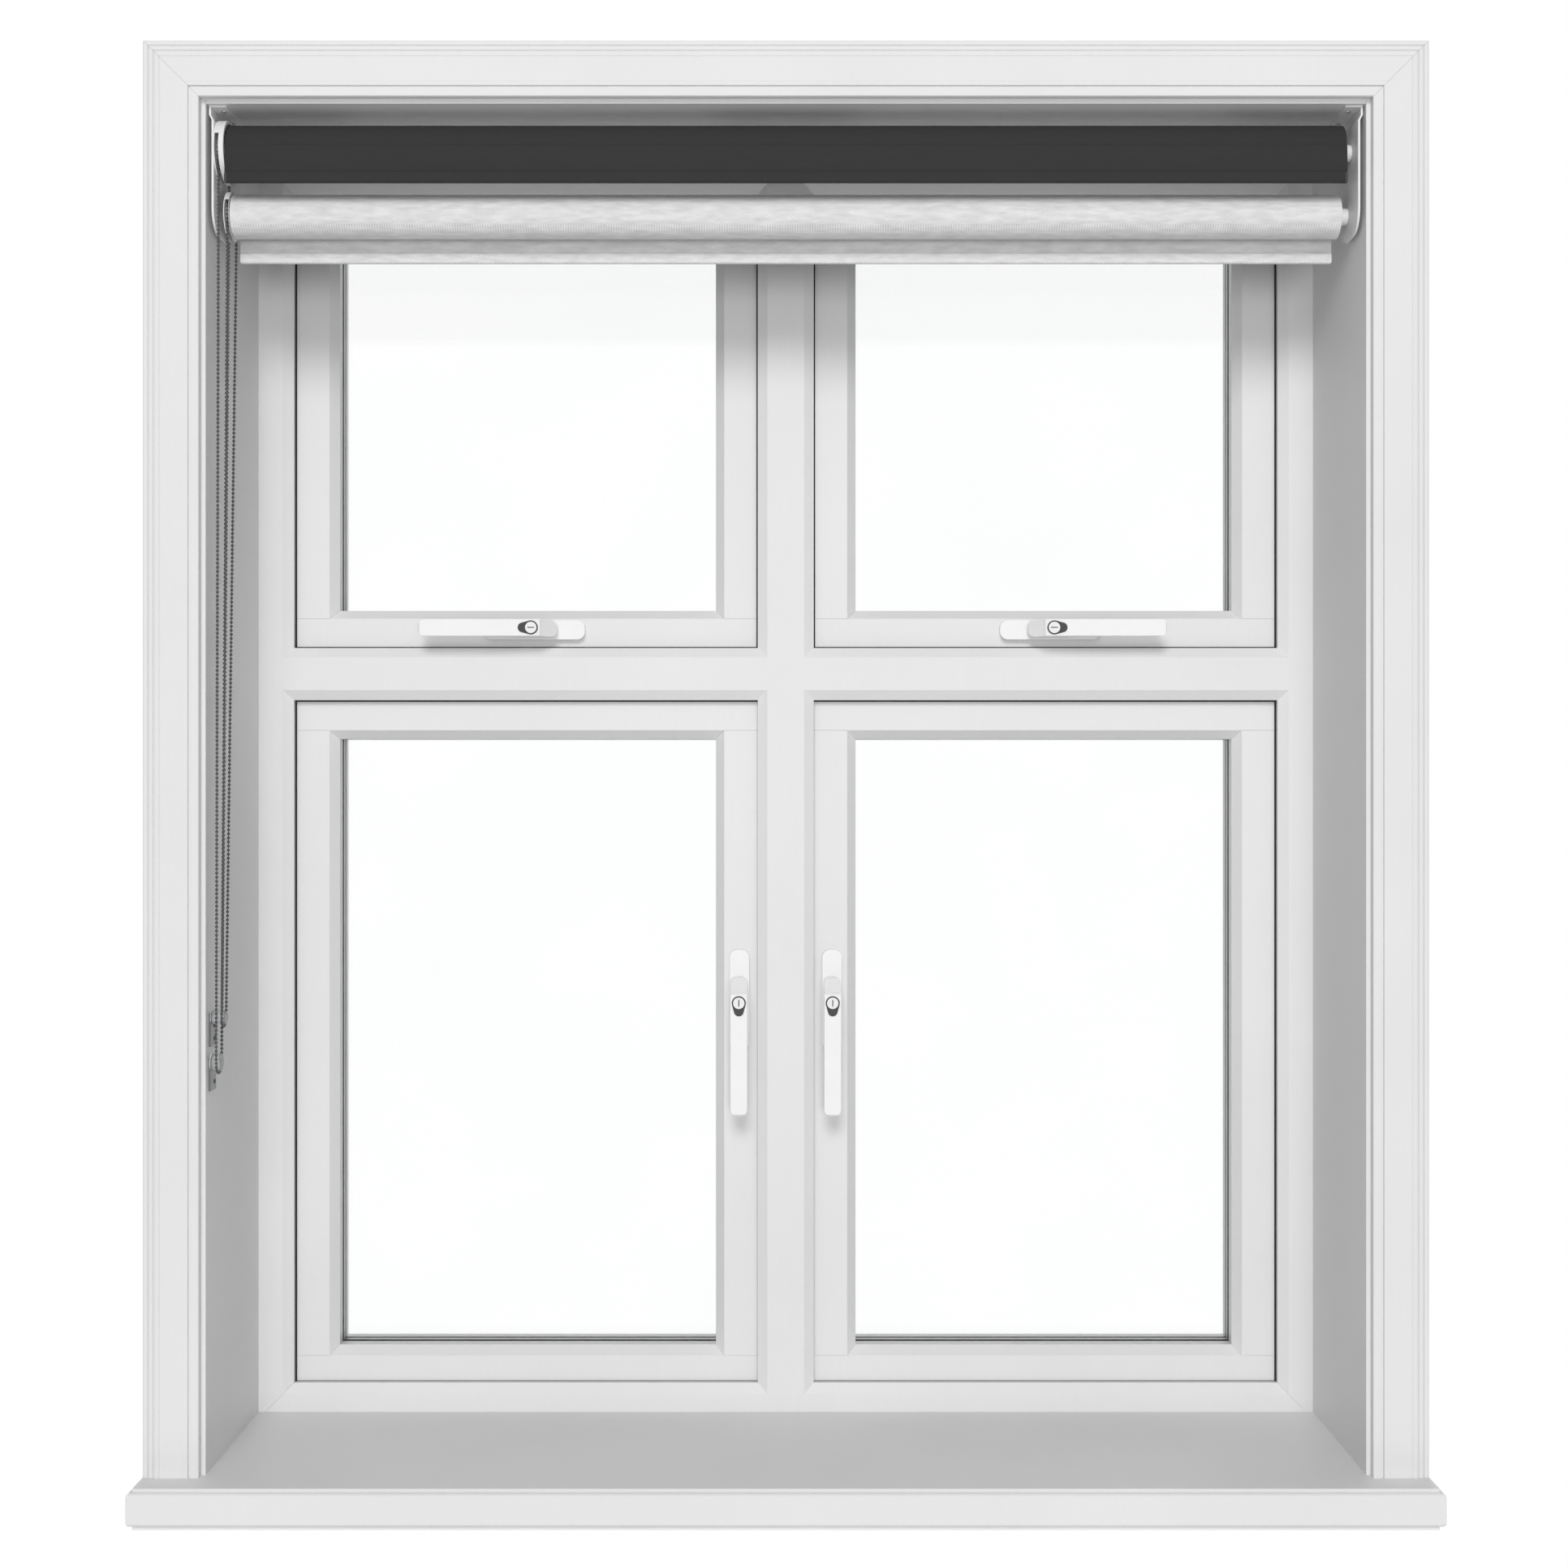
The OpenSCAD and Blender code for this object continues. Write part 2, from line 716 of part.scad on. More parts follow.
module blind_brackets() {
    color("#f4f4f4") {
        bracket_shape();
        mirror([1, 0, 0]) difference() {
            bracket_shape();
            for (yz = [blackout_yz, sheer_yz])
                x_rod(-bracket_in - strip_t - 1, -bracket_in + 1, yz, idler_r + run_clear);
        }
    }
}

// Cup of a chain drive, slotted below, where the chain leaves, with the fixed axle that holds it
// on the bracket in its middle
module drive_cup(yz, r, cup_in, plane) {
    difference() {
        x_rod(-cup_in, -drive_out, yz, r);
        x_rod(-cup_in + cup_back, -drive_out + 1, yz, r - cup_wall);
        translate([-plane - slot_w / 2, yz[0] - r - 1, yz[1] - r - 1])
            cube([slot_w, 2 * r + 2, r + 1 + slot_up]);
    }
    x_rod(-drive_in, -drive_out - 0.4, yz, axle_r);
}

module drive_cups() {
    color("#f0f0f0") {
        drive_cup(blackout_yz, blackout_cup_r, drive_in, blackout_plane);
        drive_cup(sheer_yz, sheer_cup_r, sheer_cup_in, sheer_plane);
    }
}

// Chain wheel and the plug that drives the tube
module sprocket(yz, wheel_r, tube_r, plane) {
    r = wheel_r - bead_r - seat_clear;
    color("#e0e0e0") difference() {
        union() {
            x_rod(-plane - sprocket_w / 2, -plane + sprocket_w / 2, yz, r);
            x_rod(-plane, -cloth_x + eps, yz, hub_r);
            x_rod(-cloth_x, -cloth_x + plug_l, yz, tube_r - tube_wall);
        }
        x_rod(-drive_in, -drive_out - 0.2, yz, axle_r + run_clear);
    }
}

// Tube with a closed right end and the idler pin that turns in the bracket
module roller_tube(yz, r) {
    color("silver") {
        difference() {
            x_rod(-cloth_x, cloth_x, yz, r);
            x_rod(-cloth_x - 1, cloth_x - 3, yz, r - tube_wall);
        }
        x_rod(cloth_x - eps, bracket_in + strip_t, yz, idler_r);
    }
}

module cloth_roll(yz, r, tube_r, tone) {
    color(tone) difference() {
        x_rod(-cloth_x, cloth_x, yz, r);
        x_rod(-cloth_x - 1, cloth_x + 1, yz, tube_r);
    }
}

// Cloth hanging from the front (-1) or back (1) of a roll, down to its hem bar
function cloth_y(yz, r, way) = yz[0] + way * (r + cloth_clear + cloth_t / 2);

module cloth(yz, r, way, drop, tone) {
    bottom = yz[1] - drop + hem_h;
    color(tone) translate([-cloth_x, cloth_y(yz, r, way) - cloth_t / 2, bottom])
        cube([2 * cloth_x, cloth_t, yz[1] - bottom]);
}

module hem(yz, r, way, drop, tone) {
    round = hem_t / 2;
    color(tone) translate([-cloth_x, cloth_y(yz, r, way), yz[1] - drop]) rotate([90, 0, 90])
        linear_extrude(2 * cloth_x) {
            translate([-round, round]) square([hem_t, hem_h - hem_t]);
            for (z = [round, hem_h - round]) translate([0, z]) circle(r = round);
        }
}

// Half ring of chain in the plane X = 0 about [y, z], above it (1) or below it (-1)
module chain_turn(yz, r, up) {
    translate([0, yz[0], yz[1]]) rotate([90, 0, 90]) rotate([0, 0, up > 0 ? 0 : 180])
        rotate_extrude(angle = 180) translate([r, 0]) circle(r = chain_r, $fn = 16);
}

// Straight run of chain between two points of that plane
module chain_run(y0, z0, y1, z1) {
    l = norm([y1 - y0, z1 - z0]);
    translate([0, y0, z0]) rotate([atan2(y0 - y1, z1 - z0), 0, 0])
        translate([0, 0, seam]) cylinder(r = chain_r, h = l - 2 * seam, $fn = 16);
}

module chain_loop(yz, r, foot, foot_r, plane) {
    translate([-plane, 0, 0]) {
        chain_turn(yz, r, 1);
        chain_turn(foot, foot_r, -1);
        for (i = [-1, 1]) chain_run(foot[0] + i * foot_r, foot[1], yz[0] + i * r, yz[1]);
    }
}

module bead_chains() {
    color("gray") {
        chain_loop(blackout_yz, blackout_wheel_r, blackout_foot, blackout_foot_r, blackout_plane);
        chain_loop(sheer_yz, sheer_wheel_r, sheer_foot, sheer_foot_r, sheer_plane);
    }
}

// Wall plate with the post that keeps a chain loop taut
module cleat(foot, foot_r, plane) {
    x = -open_w / 2;
    translate([x, foot[0] - cleat_front, foot[1] - cleat_below])
        cube([cleat_t, cleat_w, cleat_h]);
    x_rod(x + cleat_t - eps, -plane + 2.5, foot, foot_r - bead_r - seat_clear);
}

module chain_cleats() {
    color([0.85, 0.88, 0.9, 0.6]) {
        cleat(blackout_foot, blackout_foot_r, blackout_plane);
        cleat(sheer_foot, sheer_foot_r, sheer_plane);
    }
}

blackout_tone = "#2c2c2c";
sheer_tone = "#eeeeee";

// ---- Nodes ---------------------------------------------------------------------------

jamb(-1);  // jamb_left
jamb(1);  // jamb_right
frame_head();
frame_cill();
mullion();
transoms();
outer_sill();
weather_seals();
frame_leaves();
hinge_pins();
keeps();
lining();
architrave();
window_board();
blind_brackets();
drive_cups();
chain_cleats();
bead_chains();
sprocket(blackout_yz, blackout_wheel_r, blackout_tube_r, blackout_plane);  // blackout_sprocket
roller_tube(blackout_yz, blackout_tube_r);  // blackout_tube
cloth_roll(blackout_yz, blackout_r, blackout_tube_r, blackout_tone);  // blackout_roll
cloth(blackout_yz, blackout_r, -1, blackout_drop, blackout_tone);  // blackout_cloth
hem(blackout_yz, blackout_r, -1, blackout_drop, blackout_tone);  // blackout_hem
sprocket(sheer_yz, sheer_wheel_r, sheer_tube_r, sheer_plane);  // sheer_sprocket
roller_tube(sheer_yz, sheer_tube_r);  // sheer_tube
cloth_roll(sheer_yz, sheer_r, sheer_tube_r, sheer_tone);  // sheer_roll
cloth(sheer_yz, sheer_r, 1, sheer_drop, sheer_tone);  // sheer_cloth
hem(sheer_yz, sheer_r, 1, sheer_drop, sheer_tone);  // sheer_hem
for (place = [["lower_left", -1, 0], ["lower_right", 1, 0], ["upper_left", -1, 1], ["upper_right", 1, 1]]) {
    s = place[1];
    up = place[2];
    sash(s, up);
    beads(s, up);
    glass(s, up);
    sash_leaves(s, up);
    handle_base(s, up);
    handle(s, up);
    lock(s, up);
    locking_rod(s, up);
}
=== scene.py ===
"""Casement window with two roller blinds: finishes, chains, cloth and small fittings."""
import json
import math

import bmesh
import bpy
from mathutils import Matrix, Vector


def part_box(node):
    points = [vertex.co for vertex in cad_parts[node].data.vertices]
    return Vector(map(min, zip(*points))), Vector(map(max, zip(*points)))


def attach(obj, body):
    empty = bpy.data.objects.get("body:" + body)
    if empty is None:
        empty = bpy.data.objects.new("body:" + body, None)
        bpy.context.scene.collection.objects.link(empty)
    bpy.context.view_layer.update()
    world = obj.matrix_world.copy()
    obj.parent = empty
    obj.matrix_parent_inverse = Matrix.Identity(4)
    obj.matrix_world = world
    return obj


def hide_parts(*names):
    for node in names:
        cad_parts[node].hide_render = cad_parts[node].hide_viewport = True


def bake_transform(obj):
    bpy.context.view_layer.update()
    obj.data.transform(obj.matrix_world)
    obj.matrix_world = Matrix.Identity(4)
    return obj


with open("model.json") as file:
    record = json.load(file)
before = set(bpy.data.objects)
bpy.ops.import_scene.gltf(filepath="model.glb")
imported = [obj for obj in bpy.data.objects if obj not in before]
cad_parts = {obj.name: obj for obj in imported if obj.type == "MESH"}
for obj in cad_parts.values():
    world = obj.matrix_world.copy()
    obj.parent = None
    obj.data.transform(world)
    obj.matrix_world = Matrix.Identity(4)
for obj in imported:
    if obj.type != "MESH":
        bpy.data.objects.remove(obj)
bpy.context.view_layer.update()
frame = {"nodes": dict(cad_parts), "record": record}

MM = 0.001
PLACES = ("lower_left", "lower_right", "upper_left", "upper_right")

bl_info = {
    "name": "Casement window",
    "version": (1, 0, 0),
    "blender": (4, 5, 0),
    "location": "3D View > Sidebar > Window",
    "description": "Paint, glass, cloth, ball chains and small fittings of a casement window",
    "category": "Object",
}


# ---- Settings ----------------------------------------------------------------------------

def colour_setting(name, default, description):
    return bpy.props.FloatVectorProperty(name=name, description=description, default=default,
                                         subtype="COLOR", size=3, min=0.0, max=1.0)


def length_setting(name, default, description):
    return bpy.props.FloatProperty(name=name, description=description, default=default,
                                   subtype="DISTANCE", unit="LENGTH", min=0.0)


class WindowFinish(bpy.types.PropertyGroup):
    """Colours of paint, hardware and cloth"""
    paint: colour_setting("Joinery paint", (0.75, 0.75, 0.75), "Satin paint of frame, sashes and beads")
    trim: colour_setting("Trim paint", (0.72, 0.72, 0.72), "Paint of lining, architrave and window board")
    handle: colour_setting("Handles", (0.84, 0.84, 0.84), "Powder coat of the handles")
    badge: colour_setting("Handle badge", (0.055, 0.055, 0.055), "Plate round the key barrel")
    # The seal's near-black also serves as painted shade at the floor of each keyway
    seal: colour_setting("Weather seal", (0.012, 0.012, 0.012), "Rubber of the weather seals")
    dark_cloth: colour_setting("Blackout cloth", (0.035, 0.035, 0.036), "Coated cloth of the upper blind")
    pale_cloth: colour_setting("Sheer cloth", (0.78, 0.78, 0.78), "Woven cloth of the lower blind")


class ChainSizes(bpy.types.PropertyGroup):
    """Sizes of both ball chains"""
    bead: length_setting("Bead radius", 1.55 * MM, "Radius of one ball of the chain")
    pitch: length_setting("Pitch", 3.9 * MM, "Distance from ball to ball")
    wire: length_setting("Wire radius", 0.45 * MM, "Radius of the wire between the balls")


class ClothSizes(bpy.types.PropertyGroup):
    """Sizes of both cloths"""
    thickness: length_setting("Cloth thickness", 0.5 * MM, "Thickness of both cloths")
    thread: length_setting("Thread", 0.9 * MM, "Width of one thread of the weave")
    wave: length_setting("Unevenness", 0.25 * MM, "How far the hanging cloth strays from flat")


class ScrewSizes(bpy.types.PropertyGroup):
    """Sizes of the screw heads"""
    hinge: length_setting("Hinge screw", 3.6 * MM, "Radius of a hinge screw's head")
    small: length_setting("Small screw", 2.6 * MM, "Radius of a bracket or cleat screw's head")


# ---- Material building blocks ------------------------------------------------------------

SURFACE_OUTPUTS = [("Color", "NodeSocketColor"), ("Roughness", "NodeSocketFloat"),
                   ("Normal", "NodeSocketVector")]


def new_group(name, inputs, outputs):
    """A shader group with named sockets, returned with its input and output nodes."""
    tree = bpy.data.node_groups.new(name, "ShaderNodeTree")
    for label, kind, value in inputs:
        socket = tree.interface.new_socket(label, in_out="INPUT", socket_type=kind)
        if value is not None:
            socket.default_value = value
    for label, kind in outputs:
        tree.interface.new_socket(label, in_out="OUTPUT", socket_type=kind)
    return tree, tree.nodes.new("NodeGroupInput"), tree.nodes.new("NodeGroupOutput")


def add(tree, kind, links=(), **values):
    """One node, its properties set and its inputs linked or filled."""
    node = tree.nodes.new(kind)
    for key, value in values.items():
        setattr(node, key, value)
    for socket, source in links:
        if isinstance(source, bpy.types.NodeSocket):
            tree.links.new(source, node.inputs[socket])
        else:
            node.inputs[socket].default_value = source
    return node


def math_node(tree, operation, a, b=0.0):
    return add(tree, "ShaderNodeMath", [(0, a), (1, b)], operation=operation).outputs[0]


def multiply_add(tree, value, factor, extra):
    """value times factor, plus extra."""
    return add(tree, "ShaderNodeMath", [(0, value), (1, factor), (2, extra)],
               operation="MULTIPLY_ADD").outputs[0]


def shade(tree, colour, factor, low, high):
    """colour times a value that runs from low to high with factor."""
    ramp = add(tree, "ShaderNodeMapRange", [(0, factor), (3, low), (4, high)]).outputs[0]
    return add(tree, "ShaderNodeVectorMath", [(0, colour), (3, ramp)], operation="SCALE").outputs[0]


def paint_group():
    """Brushed satin paint: soft unevenness of tone, faint brush lines and small specks."""
    tree, ins, outs = new_group("paint_film", [
        ("Vector", "NodeSocketVector", None), ("Color", "NodeSocketColor", (0.8, 0.8, 0.8, 1)),
        ("Roughness", "NodeSocketFloat", 0.4), ("Brush", "NodeSocketFloat", 0.2)],
        SURFACE_OUTPUTS)
    patch = add(tree, "ShaderNodeTexNoise", [("Vector", ins.outputs[0]), ("Scale", 5.0), ("Detail", 3.0)])
    peel = add(tree, "ShaderNodeTexNoise", [("Vector", ins.outputs[0]), ("Scale", 420.0), ("Detail", 2.0)])
    stretch = add(tree, "ShaderNodeVectorMath", [(0, ins.outputs[0]), (1, (220.0, 220.0, 34.0))],
                  operation="MULTIPLY").outputs[0]
    lines = add(tree, "ShaderNodeTexNoise", [("Vector", stretch), ("Scale", 1.0), ("Detail", 4.0)])
    tone = shade(tree, ins.outputs[1], patch.outputs[0], 0.95, 1.03)
    tone = shade(tree, tone, lines.outputs[0], 0.985, 1.012)
    tree.links.new(tone, outs.inputs[0])
    rough = multiply_add(tree, lines.outputs[0], 0.10, ins.outputs[2])
    tree.links.new(rough, outs.inputs[1])
    height = math_node(tree, "ADD", math_node(tree, "MULTIPLY", lines.outputs[0], ins.outputs[3]),
                       math_node(tree, "MULTIPLY", peel.outputs[0], 0.35))
    bump = add(tree, "ShaderNodeBump", [("Strength", 0.10), ("Distance", 0.0006), ("Height", height)])
    tree.links.new(bump.outputs[0], outs.inputs[2])
    return tree


def weave_group():
    """Plain weave: threads over and under in both directions, with painted shade where the threads dip, slubs
    and small random changes of tone.
    """
    tree, ins, outs = new_group("plain_weave", [
        ("Vector", "NodeSocketVector", None), ("Color", "NodeSocketColor", (0.8, 0.8, 0.8, 1)),
        ("Thread", "NodeSocketFloat", 0.0009), ("Depth", "NodeSocketFloat", 0.3),
        ("Contrast", "NodeSocketFloat", 0.2), ("Slub", "NodeSocketFloat", 0.08)],
        SURFACE_OUTPUTS)
    parts = add(tree, "ShaderNodeSeparateXYZ", [(0, ins.outputs[0])]).outputs
    turn = math_node(tree, "DIVIDE", math.pi, ins.outputs[2])
    wobble = add(tree, "ShaderNodeTexNoise", [("Vector", ins.outputs[0]), ("Scale", 60.0)]).outputs[0]
    along = math_node(tree, "ADD", math_node(tree, "MULTIPLY", parts[0], turn), wobble)
    # The cloth goes round a roll, so the second direction adds both of its coordinates
    round_ = math_node(tree, "ADD", parts[1], parts[2])
    across = math_node(tree, "ADD", math_node(tree, "MULTIPLY", round_, turn), wobble)
    over = math_node(tree, "MULTIPLY", math_node(tree, "SINE", along), math_node(tree, "SINE", across))
    slub = add(tree, "ShaderNodeTexNoise", [("Vector", add(tree, "ShaderNodeVectorMath", [
        (0, ins.outputs[0]), (1, (60.0, 260.0, 260.0))], operation="MULTIPLY").outputs[0]),
        ("Scale", 1.0), ("Detail", 3.0)]).outputs[0]
    patch = add(tree, "ShaderNodeTexNoise", [("Vector", ins.outputs[0]), ("Scale", 9.0)]).outputs[0]
    half = multiply_add(tree, over, 0.5, 0.5)
    # Threads are darker where they dip under, by Contrast, in step with the bump: painted shade between the
    # threads
    low = math_node(tree, "SUBTRACT", 1.0, ins.outputs[4])
    tone = shade(tree, ins.outputs[1], half, low, 1.02)
    slub_low = math_node(tree, "SUBTRACT", 1.0, ins.outputs[5])
    slub_high = math_node(tree, "ADD", 1.0, ins.outputs[5])
    tone = shade(tree, tone, slub, slub_low, slub_high)
    tone = shade(tree, tone, patch, 0.97, 1.03)
    tree.links.new(tone, outs.inputs[0])
    rough = add(tree, "ShaderNodeMapRange", [(0, half), (3, 0.92), (4, 0.78)]).outputs[0]
    tree.links.new(rough, outs.inputs[1])
    height = math_node(tree, "ADD", half, math_node(tree, "MULTIPLY", slub, 0.5))
    bump = add(tree, "ShaderNodeBump", [("Strength", ins.outputs[3]), ("Distance", 0.0003),
                                        ("Height", height)])
    tree.links.new(bump.outputs[0], outs.inputs[2])
    return tree


def grain_group():
    """Fine even grain of powder coat, moulded plastic, rubber and brushed metal."""
    tree, ins, outs = new_group("fine_grain", [
        ("Vector", "NodeSocketVector", None), ("Color", "NodeSocketColor", (0.8, 0.8, 0.8, 1)),
        ("Roughness", "NodeSocketFloat", 0.4), ("Stretch", "NodeSocketVector", (1.0, 1.0, 1.0)),
        ("Scale", "NodeSocketFloat", 900.0), ("Depth", "NodeSocketFloat", 0.1),
        ("Contrast", "NodeSocketFloat", 0.04)],
        SURFACE_OUTPUTS)
    stretched = add(tree, "ShaderNodeVectorMath", [(0, ins.outputs[0]), (1, ins.outputs[3])],
                    operation="MULTIPLY").outputs[0]
    fine = add(tree, "ShaderNodeTexNoise", [("Vector", stretched), ("Scale", ins.outputs[4]),
                                            ("Detail", 3.0)])
    wide = add(tree, "ShaderNodeTexNoise", [("Vector", ins.outputs[0]), ("Scale", 22.0), ("Detail", 2.0)])
    low = math_node(tree, "SUBTRACT", 1.0, ins.outputs[6])
    tone = shade(tree, ins.outputs[1], fine.outputs[0], low, 1.03)
    tone = shade(tree, tone, wide.outputs[0], 0.96, 1.03)
    tree.links.new(tone, outs.inputs[0])
    rough = multiply_add(tree, wide.outputs[0], 0.12, ins.outputs[2])
    tree.links.new(rough, outs.inputs[1])
    bump = add(tree, "ShaderNodeBump", [("Strength", ins.outputs[5]), ("Distance", 0.0002),
                                        ("Height", fine.outputs[0])])
    tree.links.new(bump.outputs[0], outs.inputs[2])
    return tree


GROUPS = {}


def finish_material(name, group, colour, settings, principled):
    """A Principled material whose colour, roughness and normal come from one of the groups."""
    makers = {"paint": paint_group, "weave": weave_group, "grain": grain_group}
    if group not in GROUPS:
        GROUPS[group] = makers[group]()
    material = bpy.data.materials.new(name)
    material.use_nodes = True
    tree = material.node_tree
    shader = tree.nodes["Principled BSDF"]
    node = tree.nodes.new("ShaderNodeGroup")
    node.node_tree = GROUPS[group]
    place = tree.nodes.new("ShaderNodeTexCoord")
    tree.links.new(place.outputs["Object"], node.inputs["Vector"])
    node.inputs["Color"].default_value = (*colour, 1)
    for key, value in settings.items():
        node.inputs[key].default_value = value
    tree.links.new(node.outputs["Color"], shader.inputs["Base Color"])
    tree.links.new(node.outputs["Roughness"], shader.inputs["Roughness"])
    tree.links.new(node.outputs["Normal"], shader.inputs["Normal"])
    for key, value in principled.items():
        shader.inputs[key].default_value = value
    material.diffuse_color = (*colour, 1)
    return material


MATERIALS = {}


def make_materials(finish):
    """Each slot's group and colour, its settings in that group and on the Principled's own sockets."""
    steel = (0.56, 0.56, 0.57)
    table = {
        "frame_paint": ("paint", finish.paint, {"Roughness": 0.30, "Brush": 0.5},
                        {"Specular IOR Level": 0.45}),
        "reveal_paint": ("paint", finish.trim, {"Roughness": 0.36, "Brush": 0.7},
                         {"Specular IOR Level": 0.4}),
        "seal_rubber": ("grain", finish.seal, {"Roughness": 0.55, "Scale": 500.0, "Contrast": 0.3}, {}),
        "hardware_steel": ("grain", steel,
                           {"Roughness": 0.28, "Stretch": (1.0, 1.0, 0.06), "Scale": 1500.0, "Contrast": 0.18},
                           {"Metallic": 1.0}),
        "handle_white": ("grain", finish.handle, {"Roughness": 0.26, "Scale": 1100.0, "Depth": 0.06},
                         {"Coat Weight": 0.15}),
        "handle_badge": ("grain", finish.badge, {"Roughness": 0.42, "Scale": 1300.0, "Contrast": 0.2}, {}),
        "lock_metal": ("grain", (0.80, 0.80, 0.80), {"Roughness": 0.30, "Scale": 1100.0}, {}),
        "bracket_white": ("grain", (0.76, 0.76, 0.76), {"Roughness": 0.34, "Scale": 700.0}, {}),
        "drive_plastic": ("grain", (0.74, 0.74, 0.74), {"Roughness": 0.38, "Scale": 800.0}, {}),
        "cleat_clear": ("grain", (0.93, 0.95, 0.96), {"Roughness": 0.08, "Scale": 120.0, "Depth": 0.2},
                        {"Transmission Weight": 0.85, "IOR": 1.49}),
        "chain_steel": ("grain", (0.13, 0.13, 0.135), {"Roughness": 0.22, "Scale": 1500.0},
                        {"Metallic": 0.8}),
        "tube_aluminium": ("grain", (0.72, 0.72, 0.73),
                           {"Roughness": 0.30, "Stretch": (0.05, 1.0, 1.0), "Scale": 1600.0, "Contrast": 0.12},
                           {"Metallic": 1.0}),
        # For the cloths, Contrast sets the painted shade between the threads of the weave
        "blackout_fabric": ("weave", finish.dark_cloth, {"Thread": 0.0005, "Depth": 0.15, "Contrast": 0.12},
                            {"Specular IOR Level": 0.25}),
        "sheer_fabric": ("weave", finish.pale_cloth,
                         {"Thread": 0.0012, "Depth": 0.55, "Contrast": 0.26, "Slub": 0.24},
                         {"Specular IOR Level": 0.2, "Sheen Weight": 0.1}),
        "spacer_dark": ("grain", (0.05, 0.05, 0.05), {"Roughness": 0.5, "Contrast": 0.2}, {}),
        "spacer_light": ("grain", (0.55, 0.56, 0.57), {"Roughness": 0.35, "Contrast": 0.1},
                         {"Metallic": 0.6}),
        "screw_dark": ("grain", (0.10, 0.10, 0.10), {"Roughness": 0.35, "Contrast": 0.2},
                       {"Metallic": 0.8}),
    }
    for name, (group, colour, settings, principled) in table.items():
        MATERIALS[name] = finish_material(name, group, tuple(colour), settings, principled)
    MATERIALS["glass"] = glass_material()


def glass_material():
    """Clear float glass with the faintest smears in its polish."""
    material = bpy.data.materials.new("glass")
    material.use_nodes = True
    tree = material.node_tree
    shader = tree.nodes["Principled BSDF"]
    place = tree.nodes.new("ShaderNodeTexCoord").outputs["Object"]
    smear = add(tree, "ShaderNodeTexNoise", [("Vector", place), ("Scale", 7.0), ("Detail", 3.0)])
    rough = add(tree, "ShaderNodeMapRange", [(0, smear.outputs[0]), (1, 0.45), (2, 0.9), (3, 0.0),
                                             (4, 0.006)])
    tree.links.new(rough.outputs[0], shader.inputs["Roughness"])
    tint = add(tree, "ShaderNodeMix", [(0, smear.outputs[0]), (6, (1.0, 1.0, 1.0, 1)),
                                       (7, (0.985, 0.995, 0.99, 1))], data_type="RGBA")
    tree.links.new(tint.outputs[2], shader.inputs["Base Color"])
    shader.inputs["Transmission Weight"].default_value = 1.0
    # Weaker than real glass, so that the panes stay as pale as their surround
    shader.inputs["IOR"].default_value = 1.3
    return material


# ---- Mesh helpers ------------------------------------------------------------------------

def mesh_from(name, points, faces):
    """A mesh of these points and faces."""
    mesh = bpy.data.meshes.new(name)
    mesh.from_pydata([tuple(p) for p in points], [], faces)
    mesh.update()
    return mesh


def outward(mesh):
    """Faces turned outwards after doubles are merged."""
    form = bmesh.new()
    form.from_mesh(mesh)
    bmesh.ops.remove_doubles(form, verts=form.verts, dist=1e-7)
    bmesh.ops.recalc_face_normals(form, faces=form.faces)
    form.to_mesh(mesh)
    form.free()


def add_piece(name, mesh, body, material, smooth=None):
    """A finished mesh as a piece that moves with body."""
    piece = bpy.data.objects.new(name, mesh)
    bpy.context.scene.collection.objects.link(piece)
    if material:
        mesh.materials.clear()
        mesh.materials.append(MATERIALS[material])
    if smooth is not None:
        outward(mesh)
        mesh.shade_smooth()
        mesh.set_sharp_from_angle(angle=math.radians(smooth))
    if body:
        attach(piece, body)
    return piece


def tube_mesh(name, rings, closed_ends=True):
    """Skin over rings of equally many points; the first and last are filled when closed_ends."""
    count = len(rings[0])
    points = [p for ring in rings for p in ring]
    faces = []
    for i in range(len(rings) - 1):
        for j in range(count):
            k = (j + 1) % count
            faces.append((i * count + j, i * count + k, (i + 1) * count + k, (i + 1) * count + j))
    if closed_ends:
        faces.append(tuple(reversed(range(count))))
        faces.append(tuple(range((len(rings) - 1) * count, len(rings) * count)))
    return mesh_from(name, points, faces)


def round_points(steps, radius):
    """Evenly spaced points round a circle about the origin."""
    angles = [2 * math.pi * i / steps for i in range(steps)]
    return [(radius * math.cos(a), radius * math.sin(a)) for a in angles]


def half_turn(centre, radius, start, steps=12):
    """Points of a half circle that begins at the angle start."""
    angles = [start + math.pi * i / steps for i in range(steps + 1)]
    return [(centre[0] + radius * math.cos(a), centre[1] + radius * math.sin(a)) for a in angles]


def lathe_x(name, centre, profile, steps):
    """Closed turning about an X axis through centre; profile is [(x, radius)] from end to end."""
    rings = []
    for x, r in profile:
        rings.append([(x, centre[0] + c, centre[1] + s) for c, s in round_points(steps, r)])
    return tube_mesh(name, rings)


def corners(node):
    """Lowest and highest corner of a CAD node."""
    return [Vector(corner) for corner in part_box(node)]


def ring_mesh(name, x0, x1, z0, z1, section):
    """Section [(inwards, y)] carried round a rectangle with mitred corners."""
    points, faces = [], []
    for cx, cz, sx, sz in ((x0, z0, 1, 1), (x1, z0, -1, 1), (x1, z1, -1, -1), (x0, z1, 1, -1)):
        points += [(cx + sx * u, y, cz + sz * u) for u, y in section]
    n = len(section)
    for i in range(4):
        for j in range(n):
            k = (j + 1) % n
            m = (i + 1) % 4
            faces.append((i * n + j, i * n + k, m * n + k, m * n + j))
    return mesh_from(name, points, faces)


def modified_copy(holder, name):
    """The plain mesh that holder's modifiers make; holder is removed."""
    bpy.context.view_layer.update()
    depsgraph = bpy.context.evaluated_depsgraph_get()
    mesh = bpy.data.meshes.new_from_object(holder.evaluated_get(depsgraph))
    mesh.name = name
    bpy.data.objects.remove(holder, do_unlink=True)
    return mesh


